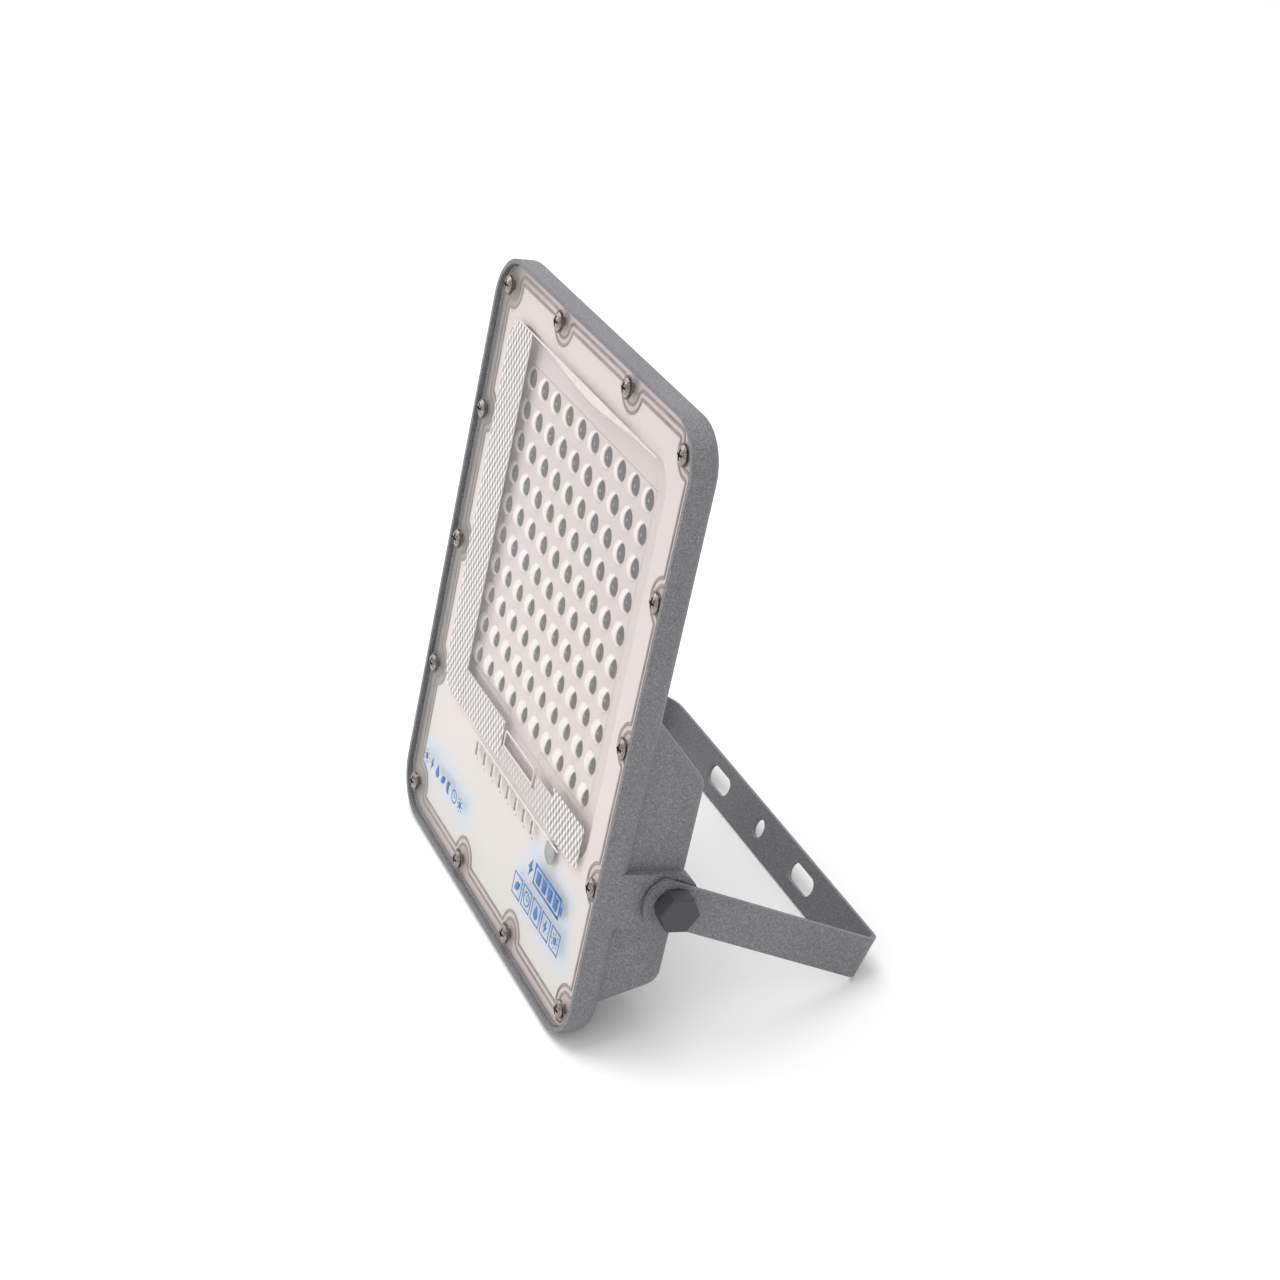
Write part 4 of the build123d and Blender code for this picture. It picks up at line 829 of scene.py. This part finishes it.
# %% [markdown]
# Bands of small diamond prisms lie left of the lenses and under them, to spread stray light. They
# are drawn inside the cover's thickness. One band is a grid of heights: a wave along X times a
# wave along the height, so each row of diamonds is staggered by half a diamond from the last.

# %% Prism bands
PRISM_W, PRISM_H, PRISM_RISE, PRISM_STEP = 3.4, 2.9, 0.5, 8
PRISMS_HALF, PRISMS_TOP, PRISMS_FOOT, PRISMS_R = 88.5, 112.2, -66.0, 13.0
PRISM_DEPTH, PRISM_CALM = 0.8, 0.46


def in_prism_area(x, h):
    """True inside the rounded outline of the prisms: a point is nearer to the middles of its
    corner circles than their radius."""
    mid_h, half_h = (PRISMS_TOP + PRISMS_FOOT) / 2, (PRISMS_TOP - PRISMS_FOOT) / 2
    beyond_x = np.maximum(abs(x) - (PRISMS_HALF - PRISMS_R), 0)
    beyond_h = np.maximum(abs(h - mid_h) - (half_h - PRISMS_R), 0)
    return np.hypot(beyond_x, beyond_h) < PRISMS_R


def prism_band(name, left, right_edge, foot, head_edge, strength):
    """Sheet of soft diamonds inside the cover. Each point keeps how much it glints: half plus
    half the product of two waves, drawn towards a calm value in the weaker bands."""
    columns = np.arange(left, right_edge, PRISM_W / PRISM_STEP)
    rows = np.arange(foot, head_edge, PRISM_H / (PRISM_STEP / 2))
    x, h = np.meshgrid(columns, rows)
    wave = np.cos(2 * math.pi * x / PRISM_W) * np.cos(math.pi * h / PRISM_H)
    glint = 0.5 + 0.5 * wave
    faces = grid_faces(*x.shape)
    kept = faces[in_prism_area(x.ravel()[faces], h.ravel()[faces]).all(axis=1)]
    used, kept = np.unique(kept, return_inverse=True)
    depth = PRISM_DEPTH - PRISM_RISE * strength * glint
    points = on_head(x, depth, h).reshape(-1, 3)[used]
    band = add_piece(name, points, kept.reshape(-1, 4), prism_finish, smooth=False)
    shine = PRISM_CALM + (glint - PRISM_CALM) * strength
    attribute = band.data.attributes.new("glint", "FLOAT", "POINT")
    attribute.data.foreach_set("value", shine.ravel()[used].astype(np.float32))
    return thicken(band, 0.08)


def prism_plastic(name):
    """Clear facets: the glint goes from a cool grey to white."""
    material, tree, shader, place = blank(name)
    glint = tree.nodes.new("ShaderNodeAttribute")
    glint.attribute_name = "glint"
    stops = [(0.15, (0.24, 0.25, 0.24)), (0.46, (0.64, 0.60, 0.585)), (0.72, (0.98, 0.97, 0.96))]
    tree.links.new(ramp(tree, glint.outputs["Fac"], stops), shader.inputs["Base Color"])
    cover_share = compute(tree, "MULTIPLY_ADD", glint.outputs["Fac"], 0.6, 0.45)
    tree.links.new(compute(tree, "MINIMUM", cover_share, 1.0), shader.inputs["Alpha"])
    shader.inputs["Roughness"].default_value = 0.18
    lift(tree, noise(tree, place, 0.8), shader, 0.01)
    return material


prism_finish = prism_plastic("prism_plastic")
prism_band("prisms_left", -89.0, -62.5, -66.5, 113.0, 1.0)
prism_band("prisms_foot", -62.5, -12.0, -66.5, -46.5, 0.75)
prism_band("prisms_middle", -12.0, 28.0, -66.5, -57.5, 0.28)
prism_band("prisms_beside_plug", 28.0, 47.0, -66.5, -50.5, 0.4)
prism_band("prisms_right", 47.0, 82.0, -66.5, -45.5, 1.0)

# %% [markdown]
# Between the battery box's front and the window, the real cover carries printed words. Words and
# marks are left out: simple pictograms take their place, in the same blue. Each is made of flat
# ribbons, which are a line with a width, and filled patches, which are a fan round a middle.

# %% Pictogram strokes
PRINT_DEPTH = -0.04


class Print:
    """Collects flat shapes at one depth of the cover, then makes them one piece."""

    def __init__(self, depth=PRINT_DEPTH):
        self.depth = depth
        self.points, self.faces, self.count = [], [], 0

    def add(self, x, h, faces):
        self.points.append(np.stack([x.ravel(), h.ravel()], -1))
        self.faces.append(faces + self.count)
        self.count += x.size

    def line(self, x, h, width, closed=False):
        """A ribbon: each point of the line, half the width to either side."""
        x, h = np.asarray(x, float), np.asarray(h, float)
        ends = np.gradient(x), np.gradient(h)
        if closed:
            ends = np.roll(x, -1) - np.roll(x, 1), np.roll(h, -1) - np.roll(h, 1)
        size = np.hypot(*ends)
        side = np.array([[-0.5], [0.5]]) * width
        self.add(x - side * ends[1] / size, h + side * ends[0] / size, grid_faces(2, len(x), closed=closed))

    def patch(self, x, h):
        """A filled shape: its rim, and the same rim shrunk to its middle."""
        x, h = np.asarray(x, float), np.asarray(h, float)
        share = np.array([[0.02], [1.0]])
        fan_x, fan_h = (v.mean() + (v - v.mean()) * share for v in (x, h))
        self.add(fan_x, fan_h, grid_faces(2, len(x), closed=True))

    def finish(self, name, material):
        """The collected shapes as one thin piece at their depth."""
        x, h = np.concatenate(self.points).T
        points, faces = on_head(x, self.depth, h), np.concatenate(self.faces)
        return thicken(add_piece(name, points, faces, material), 0.02)


def ring(x, h, radius, sides=24, start=0.0):
    """Points round a circle."""
    angle = start + np.arange(sides) * 2 * math.pi / sides
    return x + radius * np.cos(angle), h + radius * np.sin(angle)


print("strokes are ready")

# %% [markdown]
# A handful of pictograms is enough for a solar lamp: sun, moon, drop, bolt, leaf and clock. Each
# function draws one about a middle at a given size, so that a row of them is a short loop.

# %% Pictograms
def sun(ink, x, h, size):
    """A disc with eight rays."""
    ink.patch(*ring(x, h, size * 0.24))
    for angle in np.arange(8) * math.pi / 4:
        reach = np.array([0.33, 0.5]) * size
        ink.line(x + reach * math.cos(angle), h + reach * math.sin(angle), size * 0.09)


def moon(ink, x, h, size):
    """A crescent: a large arc out and a flatter arc back."""
    out = np.linspace(math.pi / 3, 2 * math.pi - math.pi / 3, 16)
    inward = out[::-1]
    outer = (x + size * 0.45 * np.cos(out), h + size * 0.45 * np.sin(out))
    inner = (x + size * (0.22 + 0.30 * np.cos(inward) * 0.6), h + size * 0.39 * np.sin(inward))
    ink.add(np.stack([outer[0], inner[0][::-1]]), np.stack([outer[1], inner[1][::-1]]), grid_faces(2, 16))


def drop(ink, x, h, size):
    """A circle drawn out to a point at its top."""
    angle = np.arange(28) * 2 * math.pi / 28
    pull = 0.5 + 0.5 * np.maximum(np.sin(angle), 0) ** 3 * 0.9
    drop_x = x + size * 0.32 * np.cos(angle) * (1.25 - 0.25 * pull * 2)
    ink.patch(drop_x, h - size * 0.12 + size * 0.62 * np.sin(angle) * pull)


def bolt(ink, x, h, size):
    """A zigzag in two slanting patches."""
    ink.patch(x + size * np.array([0.12, -0.28, -0.02, 0.10]), h + size * np.array([0.5, -0.06, -0.06, 0.06]))
    ink.patch(x + size * np.array([-0.12, 0.28, 0.02, -0.10]), h + size * np.array([-0.5, 0.06, 0.06, -0.06]))


def leaf(ink, x, h, size):
    """Two arcs that meet at both ends."""
    along = np.linspace(-0.48, 0.48, 12)
    width = 0.26 * np.cos(along / 0.48 * math.pi / 2)
    slant = math.cos(0.7), math.sin(0.7)
    edge_x = np.stack([along * slant[0] - width * slant[1], along * slant[0] + width * slant[1]])
    edge_h = np.stack([along * slant[1] + width * slant[0], along * slant[1] - width * slant[0]])
    ink.add(x + size * edge_x, h + size * edge_h, grid_faces(2, 12))


def clock(ink, x, h, size):
    """A ring with two hands."""
    ink.line(*ring(x, h, size * 0.42), size * 0.10, closed=True)
    ink.line([x, x], [h, h + size * 0.28], size * 0.09)
    ink.line([x, x + size * 0.22], [h, h], size * 0.09)


def outline(ink, middle, half, width):
    """A rectangle of four bars."""
    (x, h), (half_x, half_h) = middle, half
    for side in (-1, 1):
        ink.line([x + side * half_x] * 2, [h - half_h - width / 2, h + half_h + width / 2], width)
        ink.line([x - half_x, x + half_x], [h + side * half_h] * 2, width)


print("six pictograms and a rectangle")

# %% [markdown]
# The print has three blocks: a row of bold pictograms at the lower left, a battery symbol with
# its charge bars at the lower right, and five small framed symbols under that.

# %% Print on the cover
ink = Print()
LEFT_ROW = (sun, bolt, drop, leaf, moon, clock, sun)
for i, draw in enumerate(LEFT_ROW):
    draw(ink, -88.0 + i * 7.8, -104.5, 7.0)

BATTERY_X, BATTERY_H = 62.0, -87.0
outline(ink, (BATTERY_X, BATTERY_H), (14.5, 4.4), 1.2)
ink.patch(BATTERY_X + 16.2 + np.array([-1, 1, 1, -1]), BATTERY_H + np.array([-2, -2, 2, 2]))
for i in range(4):
    bar_x = BATTERY_X - 9.9 + i * 6.6 + 2.4 * np.array([-1, 1, 1, -1])
    ink.patch(bar_x, BATTERY_H + 2.9 * np.array([-1, -1, 1, 1]))
bolt(ink, 42.5, BATTERY_H, 9.5)
ink.finish("print_bold", grained(
    "print_blue", dark=(0.008, 0.10, 0.34), light=(0.015, 0.15, 0.44), grain=2.0, depth=0.005, rough=0.4))

fine = Print()
for i, draw in enumerate((leaf, clock, drop, bolt, sun)):
    x, h = 33.5 + i * 11.2, -101.5 + i * 0.15
    outline(fine, (x, h), (4.5, 4.9), 0.75)
    draw(fine, x, h, 7.4)
fine.finish("print_fine", grained(
    "print_fine_blue", dark=(0.015, 0.12, 0.38), light=(0.03, 0.18, 0.48), grain=2.0, depth=0.005, rough=0.4))

# %% [markdown]
# Eight moulded bars stand over the charge indicators. Each is drawn as a glassy sliver with painted shade
# along one edge and a painted highlight along the other, a small dot of painted shade at its foot, and a
# small dot of painted highlight beside that. The sensor looks out through a grey-green disc beside them,
# which has a paler middle. All of them lie inside the cover's thickness.

# %% Indicator slivers and sensor disc
INDICATORS, INDICATOR_H, INDICATOR_PITCH, IN_COVER = 8, -72.5, 10.0, 0.35
shade, highlights = Print(IN_COVER), Print(IN_COVER)
for x in (np.arange(INDICATORS) - (INDICATORS - 1) / 2) * INDICATOR_PITCH:
    shade.line([x - 1.2, x - 1.0, x - 0.6], [INDICATOR_H + 3.1, INDICATOR_H, INDICATOR_H - 3.0], 2.0)
    shade.patch(*ring(x + 1.9, INDICATOR_H - 3.9, 0.55, sides=12))
    highlights.line([x + 0.8, x + 1.0, x + 1.4], [INDICATOR_H + 2.6, INDICATOR_H, INDICATOR_H - 3.0], 1.3)
    highlights.patch(*ring(x + 2.7, INDICATOR_H - 4.4, 0.4, sides=12))
shade.finish("indicator_shade", grained(
    "indicator_shade", dark=(0.14, 0.12, 0.11), light=(0.40, 0.35, 0.33), grain=1.6, depth=0.01, rough=0.3))
highlights.finish("indicator_highlight", grained(
    "indicator_highlight", dark=(0.80, 0.78, 0.76), light=(0.98, 0.97, 0.96), grain=1.0, depth=0.01, rough=0.2))

EYE, EYE_R = (55.5, -72.0), 5.3
eye_radius = np.array([0.2, 2.4, 4.0, EYE_R])[:, None]
eye_depth = IN_COVER + 0.2 * (eye_radius / EYE_R) ** 2
eye_points = on_head(
    EYE[0] + eye_radius * np.cos(around), eye_depth, EYE[1] + eye_radius * np.sin(around))
eye_finish = grained(
    "sensor_grey", dark=(0.22, 0.24, 0.205), light=(0.36, 0.375, 0.335), grain=4.0, depth=0.01, rough=0.25)
thicken(add_piece(
    "sensor_disc", eye_points, grid_faces(4, SIDES, closed=True)[:, ::-1], eye_finish,
    [list(range(SIDES))]), 0.04)
